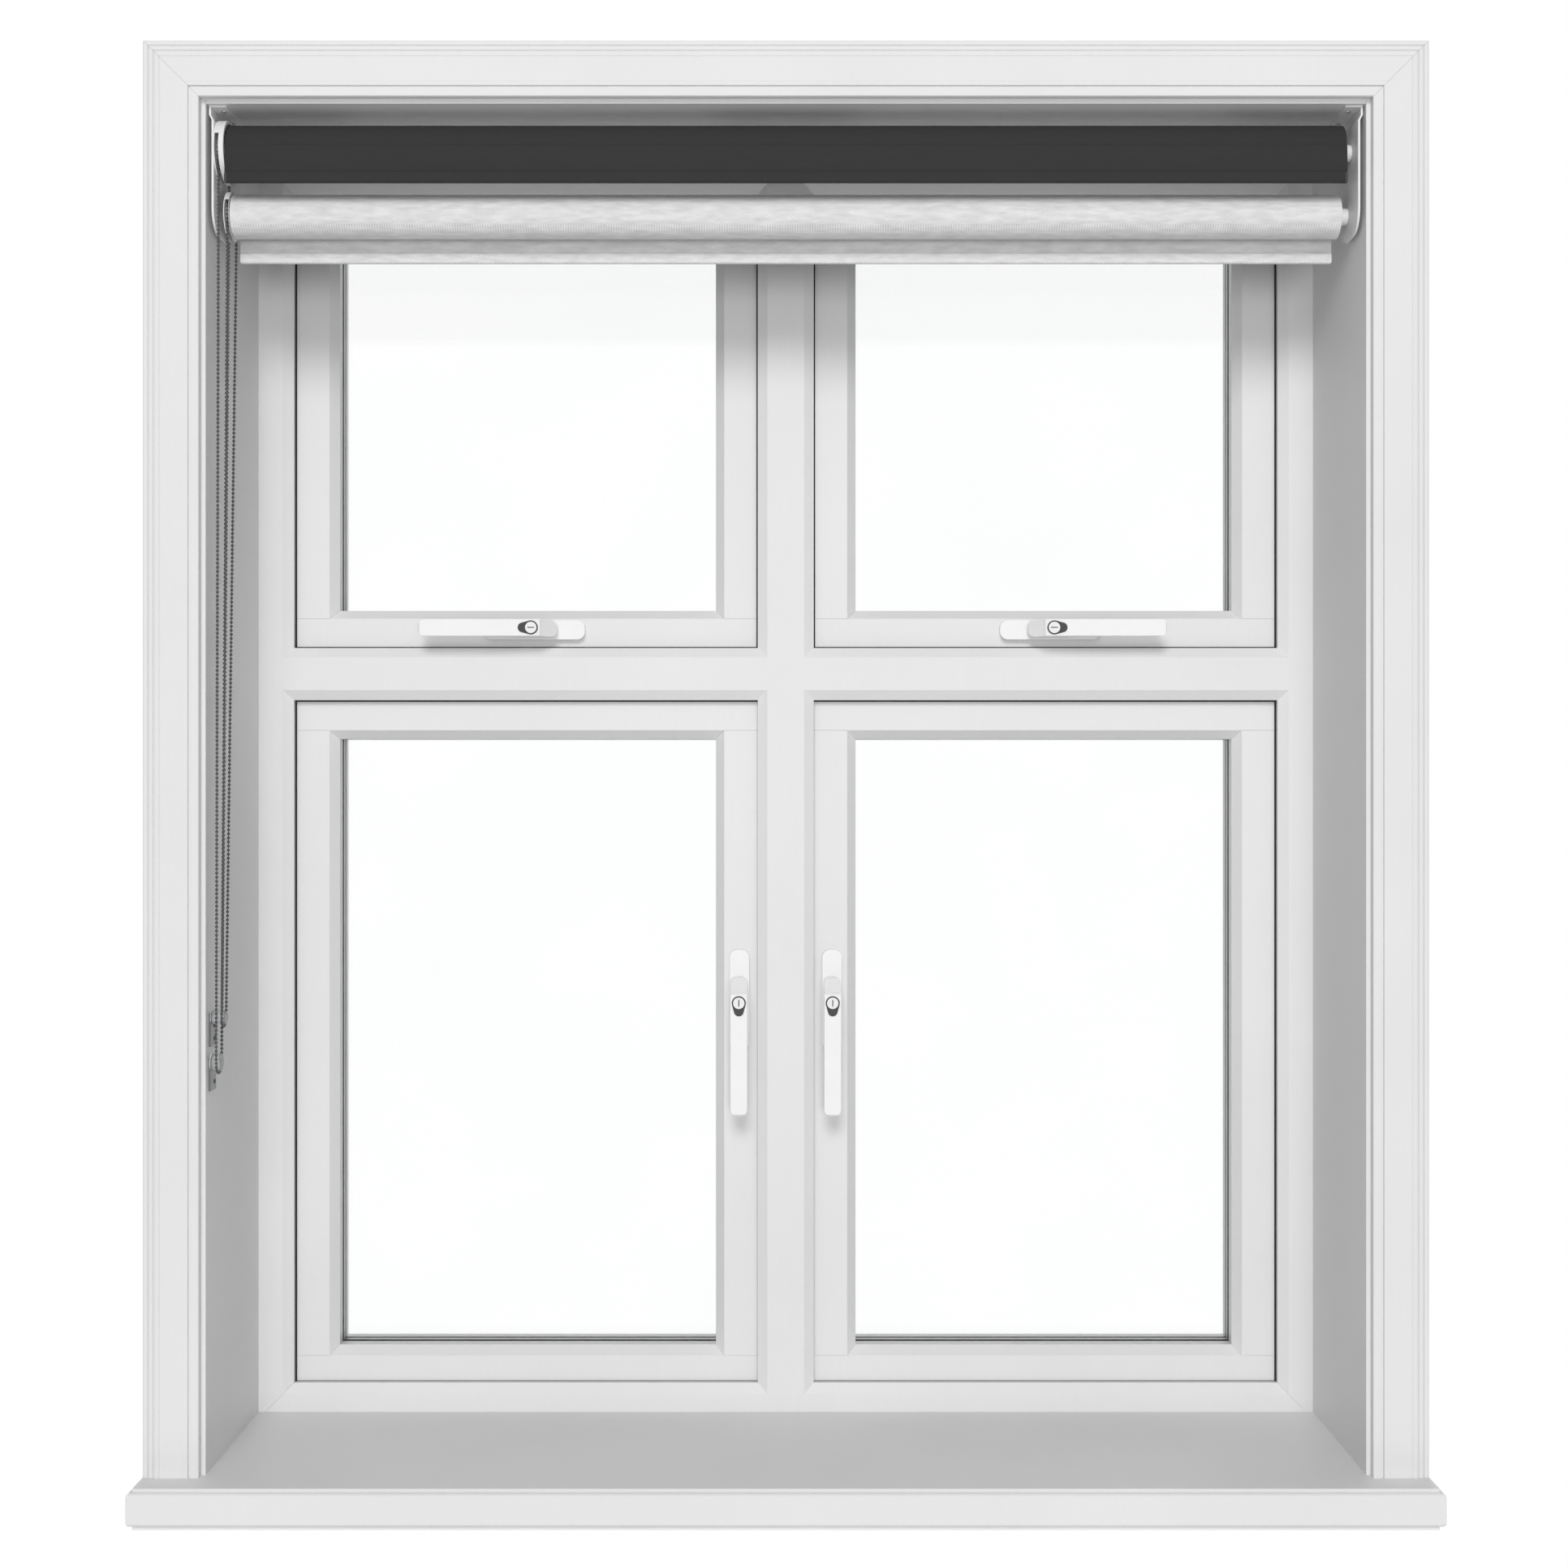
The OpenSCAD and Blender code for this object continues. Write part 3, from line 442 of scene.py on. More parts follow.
def set_inputs(modifier, values):
    """Fills a Geometry Nodes modifier's inputs by their names."""
    for item in modifier.node_group.interface.items_tree:
        if item.item_type == "SOCKET" and item.in_out == "INPUT" and item.name in values:
            modifier[item.identifier] = values[item.name]


# ---- Geometry Nodes trees ----------------------------------------------------------------

def geometry_tree(name, inputs):
    """A Geometry Nodes group, returned with its input and output nodes."""
    tree = bpy.data.node_groups.new(name, "GeometryNodeTree")
    tree.interface.new_socket("Geometry", in_out="INPUT", socket_type="NodeSocketGeometry")
    for label, kind, value in inputs:
        socket = tree.interface.new_socket(label, in_out="INPUT", socket_type=kind)
        if value is not None:
            socket.default_value = value
    tree.interface.new_socket("Geometry", in_out="OUTPUT", socket_type="NodeSocketGeometry")
    return tree, tree.nodes.new("NodeGroupInput"), tree.nodes.new("NodeGroupOutput")


def chain_tree():
    """Balls at even steps along a closed line, joined by a wire."""
    tree, ins, outs = geometry_tree("ball_chain", [
        ("Bead radius", "NodeSocketFloat", 0.0016), ("Pitch", "NodeSocketFloat", 0.0039),
        ("Wire radius", "NodeSocketFloat", 0.00045), ("Material", "NodeSocketMaterial", None)])
    steps = add(tree, "GeometryNodeResampleCurve", [("Curve", ins.outputs[0]), ("Length", ins.outputs[2])],
                mode="LENGTH")
    ball = add(tree, "GeometryNodeMeshUVSphere", [("Segments", 8), ("Rings", 6),
                                                  ("Radius", ins.outputs[1])])
    smooth = add(tree, "GeometryNodeSetShadeSmooth", [("Geometry", ball.outputs[0])])
    balls = add(tree, "GeometryNodeInstanceOnPoints", [("Points", steps.outputs[0]),
                                                       ("Instance", smooth.outputs[0])])
    circle = add(tree, "GeometryNodeCurvePrimitiveCircle", [("Resolution", 6), ("Radius", ins.outputs[3])])
    wire = add(tree, "GeometryNodeCurveToMesh", [("Curve", ins.outputs[0]),
                                                 ("Profile Curve", circle.outputs[0])])
    both = tree.nodes.new("GeometryNodeJoinGeometry")
    tree.links.new(balls.outputs[0], both.inputs[0])
    tree.links.new(wire.outputs[0], both.inputs[0])
    real = add(tree, "GeometryNodeRealizeInstances", [(0, both.outputs[0])])
    painted = add(tree, "GeometryNodeSetMaterial", [("Geometry", real.outputs[0]),
                                                    ("Material", ins.outputs[4])])
    tree.links.new(painted.outputs[0], outs.inputs[0])
    return tree


def scatter_tree():
    """One small part at each point, turned by the point's own angles."""
    tree, ins, outs = geometry_tree("placed_parts", [
        ("Part", "NodeSocketObject", None), ("Size", "NodeSocketFloat", 1.0),
        ("Material", "NodeSocketMaterial", None)])
    part = add(tree, "GeometryNodeObjectInfo", [("Object", ins.outputs[1])])
    turn = add(tree, "GeometryNodeInputNamedAttribute", [("Name", "turn")], data_type="FLOAT_VECTOR")
    angle = add(tree, "FunctionNodeEulerToRotation", [(0, turn.outputs[0])])
    copies = add(tree, "GeometryNodeInstanceOnPoints", [
        ("Points", ins.outputs[0]), ("Instance", part.outputs["Geometry"]), ("Rotation", angle.outputs[0]),
        ("Scale", ins.outputs[2])])
    real = add(tree, "GeometryNodeRealizeInstances", [(0, copies.outputs[0])])
    painted = add(tree, "GeometryNodeSetMaterial", [("Geometry", real.outputs[0]),
                                                    ("Material", ins.outputs[3])])
    tree.links.new(painted.outputs[0], outs.inputs[0])
    return tree


TREES = {}


def screw_head():
    """Pan head of unit radius along +Z with a cross recess."""
    if "screw_head_part" in bpy.data.objects:
        return bpy.data.objects["screw_head_part"]
    steps = 16
    rings = []
    for radius, z, star in ((1.0, -0.05, 0), (1.0, 0.12, 0), (0.86, 0.34, 0), (0.66, 0.40, 0),
                            (1.0, 0.40, 1), (0.8, 0.10, 1)):
        ring = []
        for i in range(steps):
            r = radius * ((0.52 if i % 4 == 0 else 0.15) if star else 1.0)
            ring.append((r * math.cos(2 * math.pi * i / steps), r * math.sin(2 * math.pi * i / steps), z))
        rings.append(ring)
    mesh = tube_mesh("screw_head_part", rings)
    outward(mesh)
    return bpy.data.objects.new("screw_head_part", mesh)


def place_parts(name, part, size, spots, body, material):
    """Copies of part at spots [(place, direction)], as one piece."""
    if "parts" not in TREES:
        TREES["parts"] = scatter_tree()
    points = mesh_from(name + "_points", [p for p, _ in spots], [])
    turns = points.attributes.new("turn", "FLOAT_VECTOR", "POINT")
    for i, (_, way) in enumerate(spots):
        turns.data[i].vector = Vector(way).to_track_quat("Z", "Y").to_euler()
    holder = bpy.data.objects.new(name + "_holder", points)
    bpy.context.scene.collection.objects.link(holder)
    modifier = holder.modifiers.new("parts", "NODES")
    modifier.node_group = TREES["parts"]
    set_inputs(modifier, {"Part": part, "Size": size, "Material": MATERIALS[material]})
    return add_piece(name, modified_copy(holder, name), body, None)


# ---- Pieces ------------------------------------------------------------------------------

def make_finishes():
    """Gives every carried-over part the material of its slot."""
    make_materials(bpy.context.scene.window_finish)
    for row in frame["record"]["subparts"]:
        node = frame["nodes"][row["node"]]
        node.data.materials.clear()
        node.data.materials.append(MATERIALS[row["material_slot"]])


# Each chain in the Y-Z plane: centre and radius of its lower turn, radius over its wheel
CHAIN_ROUTES = {
    "blackout": ((14 * MM, 424 * MM), 10 * MM, 20 * MM),
    "sheer": ((15 * MM, 466 * MM), 8 * MM, 17 * MM),
}


def chain_loops():
    """Centre lines of both chains: a half turn over the wheel, two runs and a half turn below."""
    cup_low, cup_high = corners("drive_cups")
    # Each chain hangs in its own plane, so that it passes beside the other's wheel
    planes = {"blackout": cup_low.x + 2.8 * MM, "sheer": cup_high.x - 2.0 * MM}
    loops = {}
    for name, (foot, foot_r, wheel_r) in CHAIN_ROUTES.items():
        low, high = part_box(name + "_sprocket")
        axle = ((low[1] + high[1]) / 2, (low[2] + high[2]) / 2)
        route = half_turn(axle, wheel_r, 0.0) + half_turn(foot, foot_r, math.pi)
        loops[name] = [(planes[name], y, z) for y, z in route]
    return loops


def make_chains():
    """Both ball chains; the first of them replaces the one CAD node that holds both loops."""
    sizes = bpy.context.scene.window_chain
    TREES["chain"] = chain_tree()
    for name, points in chain_loops().items():
        curve = bpy.data.curves.new(name + "_line", "CURVE")
        curve.dimensions = "3D"
        spline = curve.splines.new("POLY")
        spline.points.add(len(points) - 1)
        for point, place in zip(spline.points, points):
            point.co = (*place, 1.0)
        spline.use_cyclic_u = True
        holder = bpy.data.objects.new(name + "_holder", curve)
        bpy.context.scene.collection.objects.link(holder)
        modifier = holder.modifiers.new("chain", "NODES")
        modifier.node_group = TREES["chain"]
        set_inputs(modifier, {"Bead radius": sizes.bead, "Pitch": sizes.pitch, "Wire radius": sizes.wire,
                              "Material": MATERIALS["chain_steel"]})
        chain = name + "_ball_chain"
        piece = add_piece(chain, modified_copy(holder, chain), "frame", None)
        if name == "blackout":
            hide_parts("bead_chains")


def make_cloth_roll(name, material):
    """Cloth wound on its tube as one long spiral, seen at both ends."""
    low, high = corners(name + "_roll")
    tube_low, tube_high = corners(name + "_tube")
    y, z = (low.y + high.y) / 2, (low.z + high.z) / 2
    outer = (high.z - low.z) / 2
    inner = (tube_high.z - tube_low.z) / 2 + 0.1 * MM
    pitch = 0.62 * MM
    thick = 0.48 * MM
    steps_per_turn = 40
    build_up = outer - inner - thick
    turns = build_up / pitch
    steps = int(turns * steps_per_turn)
    # The outer end of the cloth lies where the hanging part leaves the roll
    way, end = (-1, math.pi) if name == "blackout" else (1, 0.0)
    rings = []
    for i in range(steps + 1):
        t = i / steps
        r = inner + build_up * t
        a = end + way * (t - 1) * turns * 2 * math.pi
        c, s = math.cos(a), math.sin(a)
        section = ((low.x, r), (low.x, r + thick), (high.x, r + thick), (high.x, r))
        rings.append([(x, y + d * c, z + d * s) for x, d in section])
    cloth = name + "_wound_cloth"
    piece = add_piece(cloth, tube_mesh(cloth, rings), name + "_roller", material, smooth=40)
    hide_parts(name + "_roll")


def slab_faces(columns, rows):
    """Faces of a thin slab: two grids of points back to back, and the rim between them."""
    edge = columns + 1
    layer = (rows + 1) * edge
    faces = []
    for j in range(rows):
        for i in range(columns):
            a = j * edge + i
            faces.append((a, a + edge, a + edge + 1, a + 1))
            faces.append((layer + a, layer + a + 1, layer + a + edge + 1, layer + a + edge))
    rim = list(range(edge)) + [j * edge + columns for j in range(1, rows + 1)]
    rim += [rows * edge + i for i in range(columns - 1, -1, -1)]
    rim += [j * edge for j in range(rows - 1, 0, -1)]
    for a, b in zip(rim, rim[1:] + rim[:1]):
        faces.append((a, b, layer + b, layer + a))
    return faces


def make_hanging_cloth(name, material):
    """Short length of cloth between the roll and the hem bar."""
    sizes = bpy.context.scene.window_cloth
    low, high = corners(name + "_cloth")
    y = (low.y + high.y) / 2
    # The foot of the cloth is tucked into the hem
    bottom = low.z - 1.0 * MM
    columns, rows = 60, 12
    points = []
    for side in (-1, 1):
        for j in range(rows + 1):
            z = high.z + (bottom - high.z) * j / rows
            for i in range(columns + 1):
                x = low.x + (high.x - low.x) * i / columns
                wave = sizes.wave * math.sin(9.0 * x + 0.7) * math.sin(math.pi * j / rows)
                points.append((x, y + wave + side * sizes.thickness / 2, z))
    cloth = name + "_hanging_cloth"
    piece = add_piece(cloth, mesh_from(cloth, points, slab_faces(columns, rows)), None, material,
                      smooth=60)
    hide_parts(name + "_cloth")
    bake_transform(piece)


def stitch_part():
    """One stitch along X, two units long and thickest in its middle."""
    part = bpy.data.objects.get("stitch_part")
    if part is None:
        profile = [(-1.0, 0.05), (-0.8, 0.13), (0, 0.16), (0.8, 0.13), (1.0, 0.05)]
        mesh = lathe_x("stitch_part", (0, 0), profile, 6)
        outward(mesh)
        part = bpy.data.objects.new("stitch_part", mesh)
    return part


HEM_PLUG = 2 * MM
STITCH_STEP = 3.4 * MM


def make_hem_plugs(name, low, high, outline):
    """Plugs that close both ends of a hem bar."""
    y, z_mid = (low.y + high.y) / 2, (low.z + high.z) / 2
    finish = "screw_dark" if name == "blackout" else "drive_plastic"
    for side, x0, x1 in (("left", low.x, low.x + HEM_PLUG), ("right", high.x, high.x - HEM_PLUG)):
        caps = []
        for x, grow in ((x1, 0.98), (x0 + (x1 - x0) * 0.3, 0.98), (x0, 0.8)):
            caps.append([(x, y + grow * oy, z_mid + grow * (z - z_mid)) for oy, z in outline])
        plug = name + "_hem_plug_" + side
        add_piece(plug, tube_mesh(plug, caps), name + "_bar", finish, smooth=40)


def make_hem(name, material):
    """Bar sewn into the foot of the cloth, with its row of stitches and its end plugs."""
    low, high = corners(name + "_hem")
    y = (low.y + high.y) / 2
    r = (high.y - low.y) / 2
    outline = half_turn((0, high.z - r), r, 0.0) + half_turn((0, low.z + r), r, math.pi)
    columns = 60
    rings = []
    for i in range(columns + 1):
        x = low.x + HEM_PLUG + (high.x - low.x - 2 * HEM_PLUG) * i / columns
        swell = 1 - 0.02 * (0.5 + 0.5 * math.sin(23.0 * x))
        rings.append([(x, y + swell * oy, z) for oy, z in outline])
    sleeve = name + "_hem_sleeve"
    piece = add_piece(sleeve, tube_mesh(sleeve, rings), name + "_bar", material, smooth=40)
    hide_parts(name + "_hem")
    make_hem_plugs(name, low, high, outline)
    # Stitches stand just proud of the sleeve near its top
    margin = 5 * MM
    spots = []
    for i in range(int((high.x - low.x - 2 * margin) / STITCH_STEP)):
        x = low.x + margin + i * STITCH_STEP
        for side in (-1, 1):
            spots.append(((x, y + side * r * 0.99, high.z - 2.7 * MM), (0, 0, 1)))
    place_parts(name + "_hem_stitches", stitch_part(), 1.2 * MM, spots, name + "_bar", material)


def make_blinds():
    """The wound cloth, hanging cloth and hem of each blind."""
    for name in ("blackout", "sheer"):
        material = name + "_fabric"
        make_cloth_roll(name, material)
        make_hanging_cloth(name, material)
        make_hem(name, material)


def badge_mesh(name, centre, front, up, mirror):
    """Teardrop plate with a hole for the key barrel, its point towards the lever's free end."""
    big, small, reach, hole = 7.2 * MM, 5.0 * MM, 8.4 * MM, 5.87 * MM
    top, edge, back = -0.12 * MM, 0.15 * MM, 0.75 * MM
    steps = 48
    rings = []
    for grow, y in ((0.0, back), (0.0, edge), (-0.25 * MM, top)):
        ring = []
        for c, s in round_points(steps, 1.0):
            oz, r = (0, big) if big >= small - reach * s else (-reach, small)
            ring.append(((r + grow) * c, y, oz + (r + grow) * s))
        rings.append(ring)
    for y in (top, back):
        rings.append([(x, y, z) for x, z in round_points(steps, hole)])
    rings.append(rings[0])
    placed = []
    for ring in rings:
        row = []
        for x, y, z in ring:
            if up:
                x, z = z, -x
            row.append((centre[0] + (-x if mirror else x), front + y, centre[1] + z))
        placed.append(row)
    return tube_mesh(name, placed, closed_ends=False)


def keyway_shade_mesh(name, centre, front, up):
    """Black piece at the floor of a keyway, a narrow slot in the barrel's face: painted shade in the slot."""
    half_width, half_length = 0.46 * MM, 3.4 * MM
    rings = []
    for y, grow in ((1.9 * MM, 1.0), (1.0 * MM, 1.0), (0.8 * MM, 0.9)):
        ring = []
        for c, s in round_points(16, 1.0):
            x = half_width * grow * max(-1, min(1, 1.6 * c))
            z = half_length * grow * max(-1, min(1, 1.15 * s))
            if up:
                x, z = z, -x
            ring.append((centre[0] + x, front + y, centre[1] + z))
        rings.append(ring)
    return tube_mesh(name, rings)


def make_badges():
    """Badge plate of each handle, and a black piece of painted shade at the floor of its keyway."""
    barrel_proud, plate_proud = 0.4 * MM, 0.2 * MM
    for place in PLACES:
        low, high = corners("lock_" + place)
        centre = ((low.x + high.x) / 2, (low.z + high.z) / 2)
        up = place.startswith("upper")
        mirror = place.endswith("right")
        front = low.y + barrel_proud - plate_proud
        badge = "badge_" + place
        add_piece(badge, badge_mesh(badge, centre, front, up, mirror), "lever_" + place, "handle_badge",
                  smooth=35)
        # The keyway floor takes the near-black seal rubber as painted shade in the slot
        keyway_shade = "keyway_" + place
        add_piece(keyway_shade, keyway_shade_mesh(keyway_shade, centre, low.y, up), "key_" + place, "seal_rubber",
                  smooth=30)


def make_spacers():
    """Sealant and bright spacer bar between the two panes of each light."""
    pane = 4.1 * MM
    sealant_width = 4.0 * MM
    for place in PLACES:
        low, high = corners("glass_" + place)
        y0, y1 = low.y + pane, high.y - pane
        split = y0 + sealant_width
        dark = [(0.6 * MM, y0), (5.6 * MM, y0), (6.0 * MM, y0 + 0.5 * MM), (6.0 * MM, split - 0.3 * MM),
                (5.7 * MM, split), (0.6 * MM, split)]
        light = [(0.6 * MM, split + 0.1 * MM), (5.4 * MM, split + 0.1 * MM), (6.0 * MM, split + 0.8 * MM),
                 (6.0 * MM, y1 - 0.8 * MM), (5.4 * MM, y1), (0.6 * MM, y1)]
        for label, section, material in (("sealant", dark, "spacer_dark"), ("spacer", light, "spacer_light")):
            name = label + "_" + place
            add_piece(name, ring_mesh(name, low.x, high.x, low.z, high.z, section), "light_" + place,
                      material, smooth=30)


LEAF_LENGTH = 75 * MM
LEAF_THICKNESS = 2 * MM
# Share of the leaf's length and distance from the pin of each screw in a hinge leaf
LEAF_SCREWS = ((0.14, 18 * MM), (0.5, 23 * MM), (0.86, 18 * MM))
BRACKET_SCREW_X = 533 * MM
BRACKET_SCREW_YS = (20 * MM, 58 * MM)
CLEAT_SCREW_Y = 25 * MM
CLEAT_SCREW_ZS = (404.5 * MM, 416.8 * MM, 445.5 * MM, 457.8 * MM)


def hinge_pin(place):
    """A point on the pins of one light's hinges, from the joint that swings it."""
    joints = {joint["name"]: joint for joint in frame["record"]["behaviour"]["joints"]}
    return joints[place + "_sash_swing"]["pos_m"]


def hinge_screw_spots(place):
    """Screw places in one light's sash leaves and in the frame leaves beside them."""
    low, high = corners("hinges_" + place)
    pin_x, _, pin_z = hinge_pin(place)
    leaf_y = low.y + LEAF_THICKNESS
    upper = place.startswith("upper")
    inward = 1 if place.endswith("left") else -1
    starts = (low.x, high.x - LEAF_LENGTH) if upper else (low.z, high.z - LEAF_LENGTH)
    sash_spots, frame_spots = [], []
    for start in starts:
        for share, off in LEAF_SCREWS:
            along = start + share * LEAF_LENGTH
            for spots, side in ((sash_spots, -1), (frame_spots, 1)):
                if upper:
                    spot = (along, leaf_y, pin_z + side * off)
                else:
                    spot = (pin_x - side * inward * off, leaf_y, along)
                spots.append((spot, (0, 1, 0)))
    return sash_spots, frame_spots


def make_screws():
    """Screws of the hinges, blind brackets and chain cleats."""
    sizes = bpy.context.scene.window_screw
    head = screw_head()
    for place in PLACES:
        sash_spots, frame_spots = hinge_screw_spots(place)
        place_parts("sash_screws_" + place, head, sizes.hinge, sash_spots, "light_" + place,
                    "hardware_steel")
        place_parts("frame_screws_" + place, head, sizes.hinge, frame_spots, "frame",
                    "hardware_steel")
    under = corners("blind_brackets")[1].z - 1.5 * MM
    spots = [((side * BRACKET_SCREW_X, y, under), (0, 0, -1)) for side in (-1, 1) for y in BRACKET_SCREW_YS]
    place_parts("bracket_screws", head, sizes.small, spots, "frame", "hardware_steel")
    plate = corners("chain_cleats")[0].x + 2 * MM
    spots = [((plate, CLEAT_SCREW_Y, z), (1, 0, 0)) for z in CLEAT_SCREW_ZS]
    place_parts("cleat_screws", head, 2.2 * MM, spots, "frame", "screw_dark")


def make_sleeves():
    """White bearing sleeves over the idler pins at the right-hand bracket."""
    bore = 5.05 * MM
    for name in ("blackout", "sheer"):
        roll_low, roll_high = corners(name + "_roll")
        y, z = (roll_low.y + roll_high.y) / 2, (roll_low.z + roll_high.z) / 2
        x0, x1 = roll_high.x + 0.2 * MM, corners(name + "_tube")[1].x - 2.2 * MM
        profile = [(x0, bore), (x0, 13.0 * MM), (x0 + 1.2 * MM, 13.4 * MM), (x0 + 2.2 * MM, 13.0 * MM),
                   (x0 + 2.6 * MM, 8.4 * MM), (x1 - 0.6 * MM, 7.8 * MM), (x1, 7.2 * MM), (x1, bore)]
        sleeve = name + "_idler_sleeve"
        mesh = lathe_x(sleeve, (y, z), profile + [profile[0]], 40)
        # The turning is a ring, so the two filled ends are dropped
        form = bmesh.new()
        form.from_mesh(mesh)
        ends = [face for face in form.faces if len(face.verts) > 4]
        bmesh.ops.delete(form, geom=ends, context="FACES_ONLY")
        form.to_mesh(mesh)
        form.free()
        add_piece(sleeve, mesh, name + "_roller", "drive_plastic", smooth=35)


# ---- Stage -------------------------------------------------------------------------------

# How brightly the surround lights the window; it looks white where it is seen itself
WORLD_LEVEL = 0.38
# Name, place, aim, width and power of each lamp
LAMPS = [
    ("key", (-0.3, -5.2, 3.6), (0, 0.2, 0.7), 2.2, 166.0),
    ("fill", (0.4, -6.4, 0.5), (0, 0.2, 0.7), 2.0, 122.0),
    ("back", (0.6, 4.2, 2.2), (0, 0.2, 0.7), 2.4, 80.0),
]
FLOOR_RADIUS, FLOOR_Y, FLOOR_Z = 2.0, 0.15, -0.9


def make_surround(scene):
    """White surround that is dimmer as a light than as a backdrop."""
    world = bpy.data.worlds.new("surround")
    scene.world = world
    world.use_nodes = True
    tree = world.node_tree
    back = tree.nodes["Background"]
    path = tree.nodes.new("ShaderNodeLightPath")
    seen = math_node(tree, "MAXIMUM", path.outputs["Is Camera Ray"],
                     math_node(tree, "MAXIMUM", path.outputs["Is Glossy Ray"],
                               path.outputs["Is Transmission Ray"]))
    level = add(tree, "ShaderNodeMapRange", [(0, seen), (3, WORLD_LEVEL), (4, 1.0)]).outputs[0]
    tree.links.new(level, back.inputs["Strength"])
    back.inputs["Color"].default_value = (1, 1, 1, 1)


def make_floor(scene):
    """Round pale floor that fades into the surround towards its edge."""
    steps = 64
    points = [(x, FLOOR_Y + y, FLOOR_Z) for x, y in round_points(steps, FLOOR_RADIUS)]
    floor = bpy.data.objects.new("floor", mesh_from("floor", points, [tuple(range(steps))]))
    scene.collection.objects.link(floor)
    material = bpy.data.materials.new("floor_white")
    material.use_nodes = True
    tree = material.node_tree
    shader = tree.nodes["Principled BSDF"]
    shader.inputs["Roughness"].default_value = 0.7
    place = tree.nodes.new("ShaderNodeTexCoord").outputs["Object"]
    speck = add(tree, "ShaderNodeTexNoise", [("Vector", place), ("Scale", 30.0)])
    tone = shade(tree, (0.86, 0.86, 0.86), speck.outputs[0], 0.98, 1.02)
    tree.links.new(tone, shader.inputs["Base Color"])
    flat = add(tree, "ShaderNodeVectorMath", [(0, place), (1, (1.0, 1.0, 0.0))],
               operation="MULTIPLY").outputs[0]
    away = add(tree, "ShaderNodeVectorMath", [(0, flat)], operation="LENGTH").outputs["Value"]
    fade = add(tree, "ShaderNodeMapRange", [(0, away), (1, 0.7), (2, 1.8), (3, 0.0), (4, 1.0)],
               interpolation_type="SMOOTHSTEP").outputs[0]
    glow = add(tree, "ShaderNodeEmission", [("Color", (1, 1, 1, 1)), ("Strength", 1.0)]).outputs[0]
    mixed = add(tree, "ShaderNodeMixShader", [(0, fade), (1, shader.outputs[0]), (2, glow)]).outputs[0]
    tree.links.new(mixed, tree.nodes["Material Output"].inputs["Surface"])
    floor.data.materials.append(material)


def make_lamps(scene):
    """Round soft lamps, unseen by the camera and in reflections and glass."""
    for name, place, aim, size, power in LAMPS:
        lamp = bpy.data.lights.new(name, "AREA")
        lamp.shape = "DISK"
        lamp.size = size
        lamp.energy = power
        obj = bpy.data.objects.new(name, lamp)
        obj.location = place
        obj.rotation_euler = (Vector(aim) - Vector(place)).to_track_quat("-Z", "Y").to_euler()
        obj.visible_camera = obj.visible_glossy = obj.visible_transmission = False
        scene.collection.objects.link(obj)


def make_camera(scene):
    """Level camera before the middle of the window."""
    camera = bpy.data.cameras.new("camera")
    camera.lens = 50.0
    camera.sensor_width = 36.0
    camera.dof.use_dof = False
    viewer = bpy.data.objects.new("camera", camera)
    viewer.location = (-0.0018, -2.0453, 0.687)
    viewer.rotation_euler = (math.radians(90), 0, 0)
    scene.collection.objects.link(viewer)
    scene.camera = viewer


def make_stage():
    """Pale floor, white surround, soft lamps and the camera."""
    scene = bpy.context.scene
    scene.view_settings.view_transform = "Standard"
    make_surround(scene)
    make_floor(scene)
    make_lamps(scene)
    make_camera(scene)


# ---- Operators, panel and registration ---------------------------------------------------

class WINDOW_OT_finishes(bpy.types.Operator):
    """Give frame, sashes, glass, hardware and trim their materials"""
    bl_idname = "window.finishes"
    bl_label = "Paint, glass and metal"

    def execute(self, context):
        make_finishes()
        return {"FINISHED"}


class WINDOW_OT_blinds(bpy.types.Operator):
    """Wind and hang the cloth of both roller blinds, with their hems"""
    bl_idname = "window.blinds"
    bl_label = "Blind cloths"

    def execute(self, context):
        make_blinds()
        make_sleeves()
        return {"FINISHED"}


class WINDOW_OT_chains(bpy.types.Operator):
    """String the ball chains of both blinds"""
    bl_idname = "window.chains"
    bl_label = "Ball chains"

    def execute(self, context):
        make_chains()
        return {"FINISHED"}


class WINDOW_OT_badges(bpy.types.Operator):
    """Add the badge plates of the handles, and painted shade at the floor of their keyways"""
    bl_idname = "window.badges"
    bl_label = "Handle badges"

    def execute(self, context):
        make_badges()
        return {"FINISHED"}


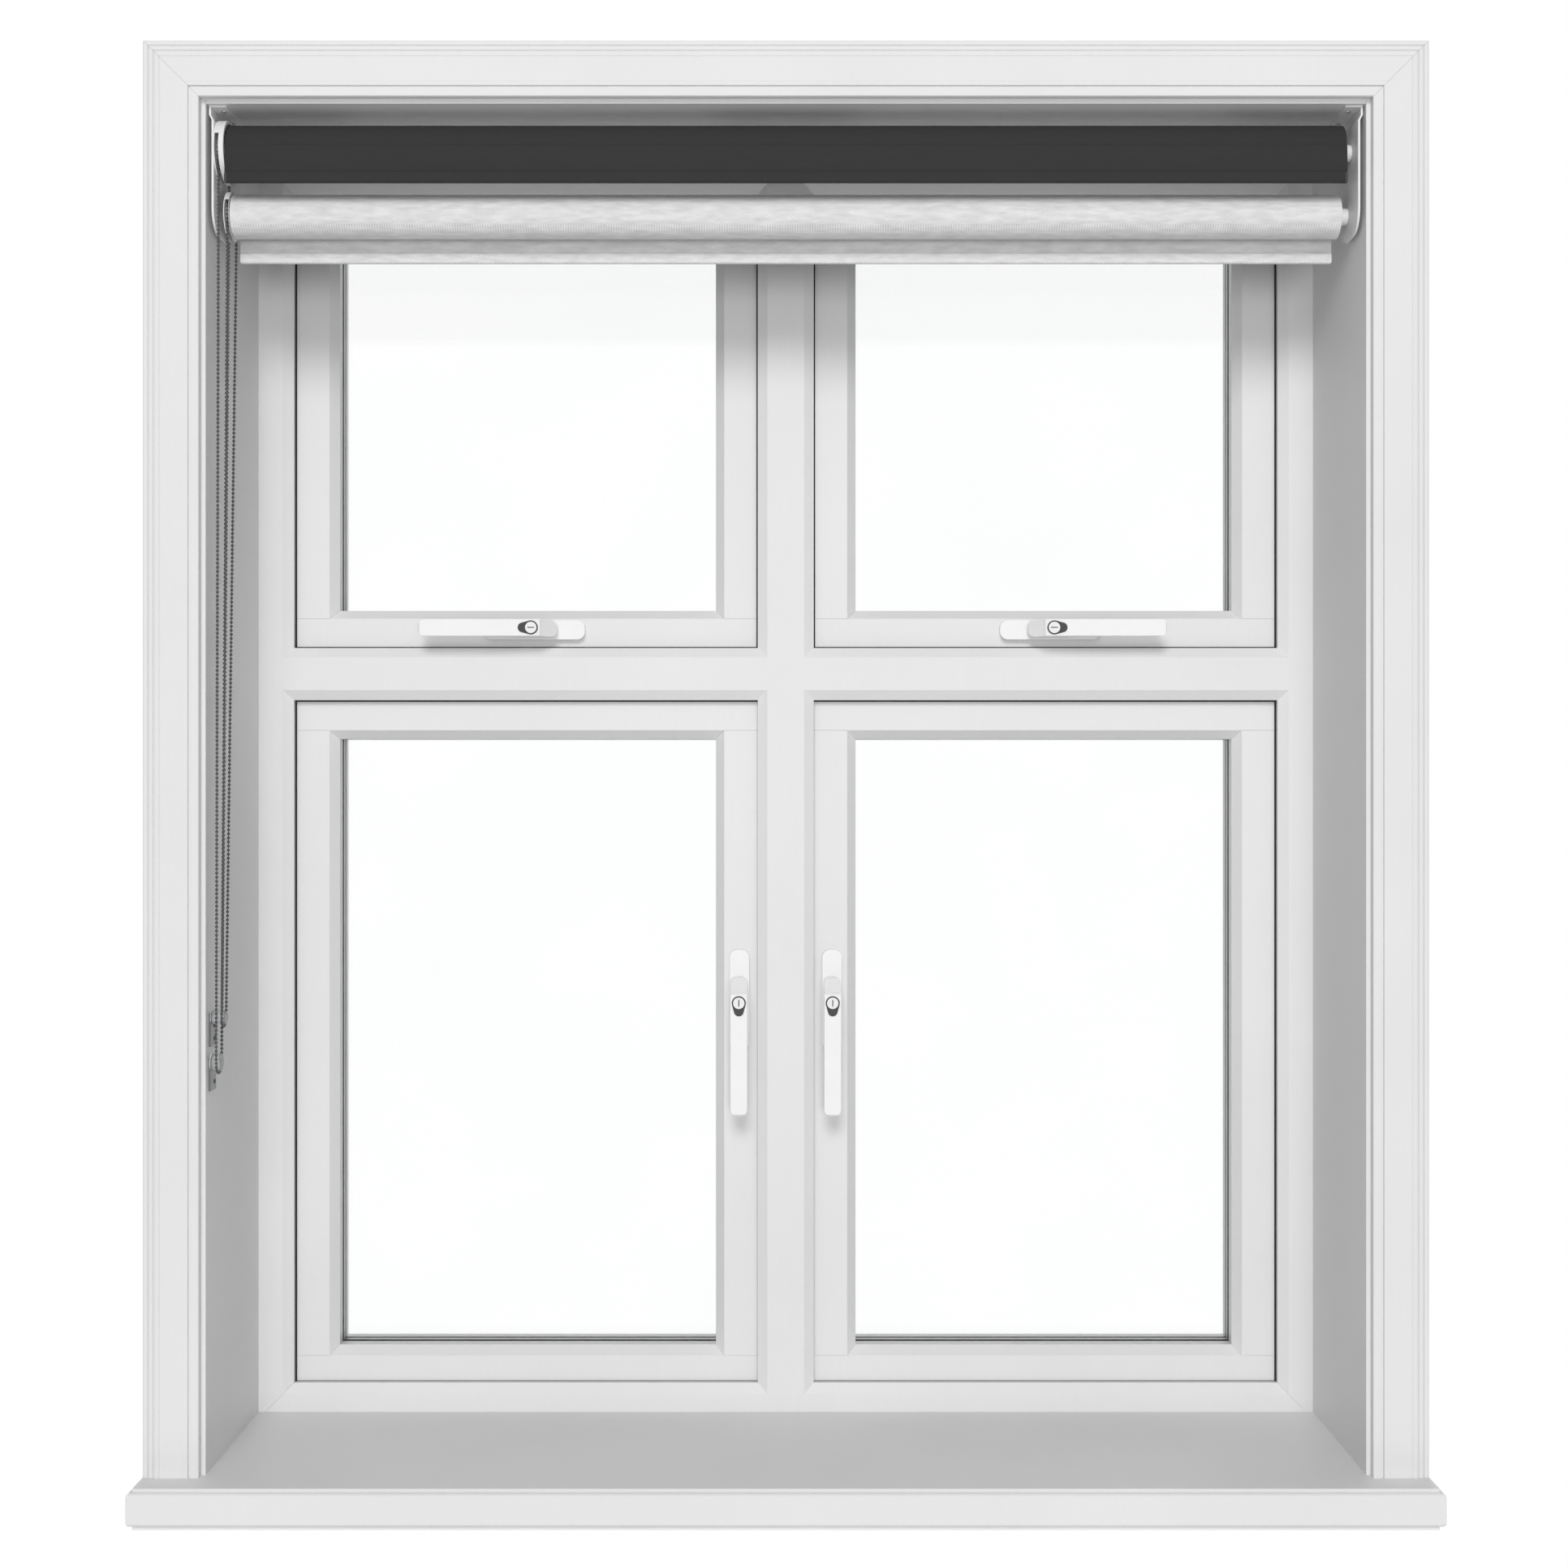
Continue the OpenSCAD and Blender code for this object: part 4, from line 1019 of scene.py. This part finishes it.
class WINDOW_OT_spacers(bpy.types.Operator):
    """Add sealant and spacer bars inside the glass units"""
    bl_idname = "window.spacers"
    bl_label = "Glass spacers"

    def execute(self, context):
        make_spacers()
        return {"FINISHED"}


class WINDOW_OT_screws(bpy.types.Operator):
    """Drive the screws of hinges, brackets and chain cleats"""
    bl_idname = "window.screws"
    bl_label = "Screws"

    def execute(self, context):
        make_screws()
        return {"FINISHED"}


class WINDOW_OT_stage(bpy.types.Operator):
    """Set floor, surround, lamps and camera"""
    bl_idname = "window.stage"
    bl_label = "Stage"

    def execute(self, context):
        make_stage()
        return {"FINISHED"}


OPERATORS = (WINDOW_OT_finishes, WINDOW_OT_blinds, WINDOW_OT_chains, WINDOW_OT_badges, WINDOW_OT_spacers,
             WINDOW_OT_screws, WINDOW_OT_stage)


class WINDOW_PT_panel(bpy.types.Panel):
    """Settings and steps of the casement window"""
    bl_idname = "WINDOW_PT_panel"
    bl_label = "Casement window"
    bl_space_type = "VIEW_3D"
    bl_region_type = "UI"
    bl_category = "Window"

    def draw(self, context):
        layout = self.layout
        for group in ("window_finish", "window_chain", "window_cloth", "window_screw"):
            settings = getattr(context.scene, group)
            box = layout.box()
            for key in settings.__annotations__:
                box.prop(settings, key)
        for operator in OPERATORS:
            layout.operator(operator.bl_idname)


GROUP_CLASSES = {"window_finish": WindowFinish, "window_chain": ChainSizes, "window_cloth": ClothSizes,
                 "window_screw": ScrewSizes}


def register():
    for cls in (*GROUP_CLASSES.values(), *OPERATORS, WINDOW_PT_panel):
        bpy.utils.register_class(cls)
    for name, cls in GROUP_CLASSES.items():
        setattr(bpy.types.Scene, name, bpy.props.PointerProperty(type=cls))


def unregister():
    for name in GROUP_CLASSES:
        delattr(bpy.types.Scene, name)
    for cls in (WINDOW_PT_panel, *reversed(OPERATORS), *GROUP_CLASSES.values()):
        bpy.utils.unregister_class(cls)


def main():
    register()
    bpy.ops.window.stage()
    bpy.ops.window.finishes()
    bpy.ops.window.blinds()
    bpy.ops.window.chains()
    bpy.ops.window.badges()
    bpy.ops.window.spacers()
    bpy.ops.window.screws()


if __name__ == "__main__":
    main()
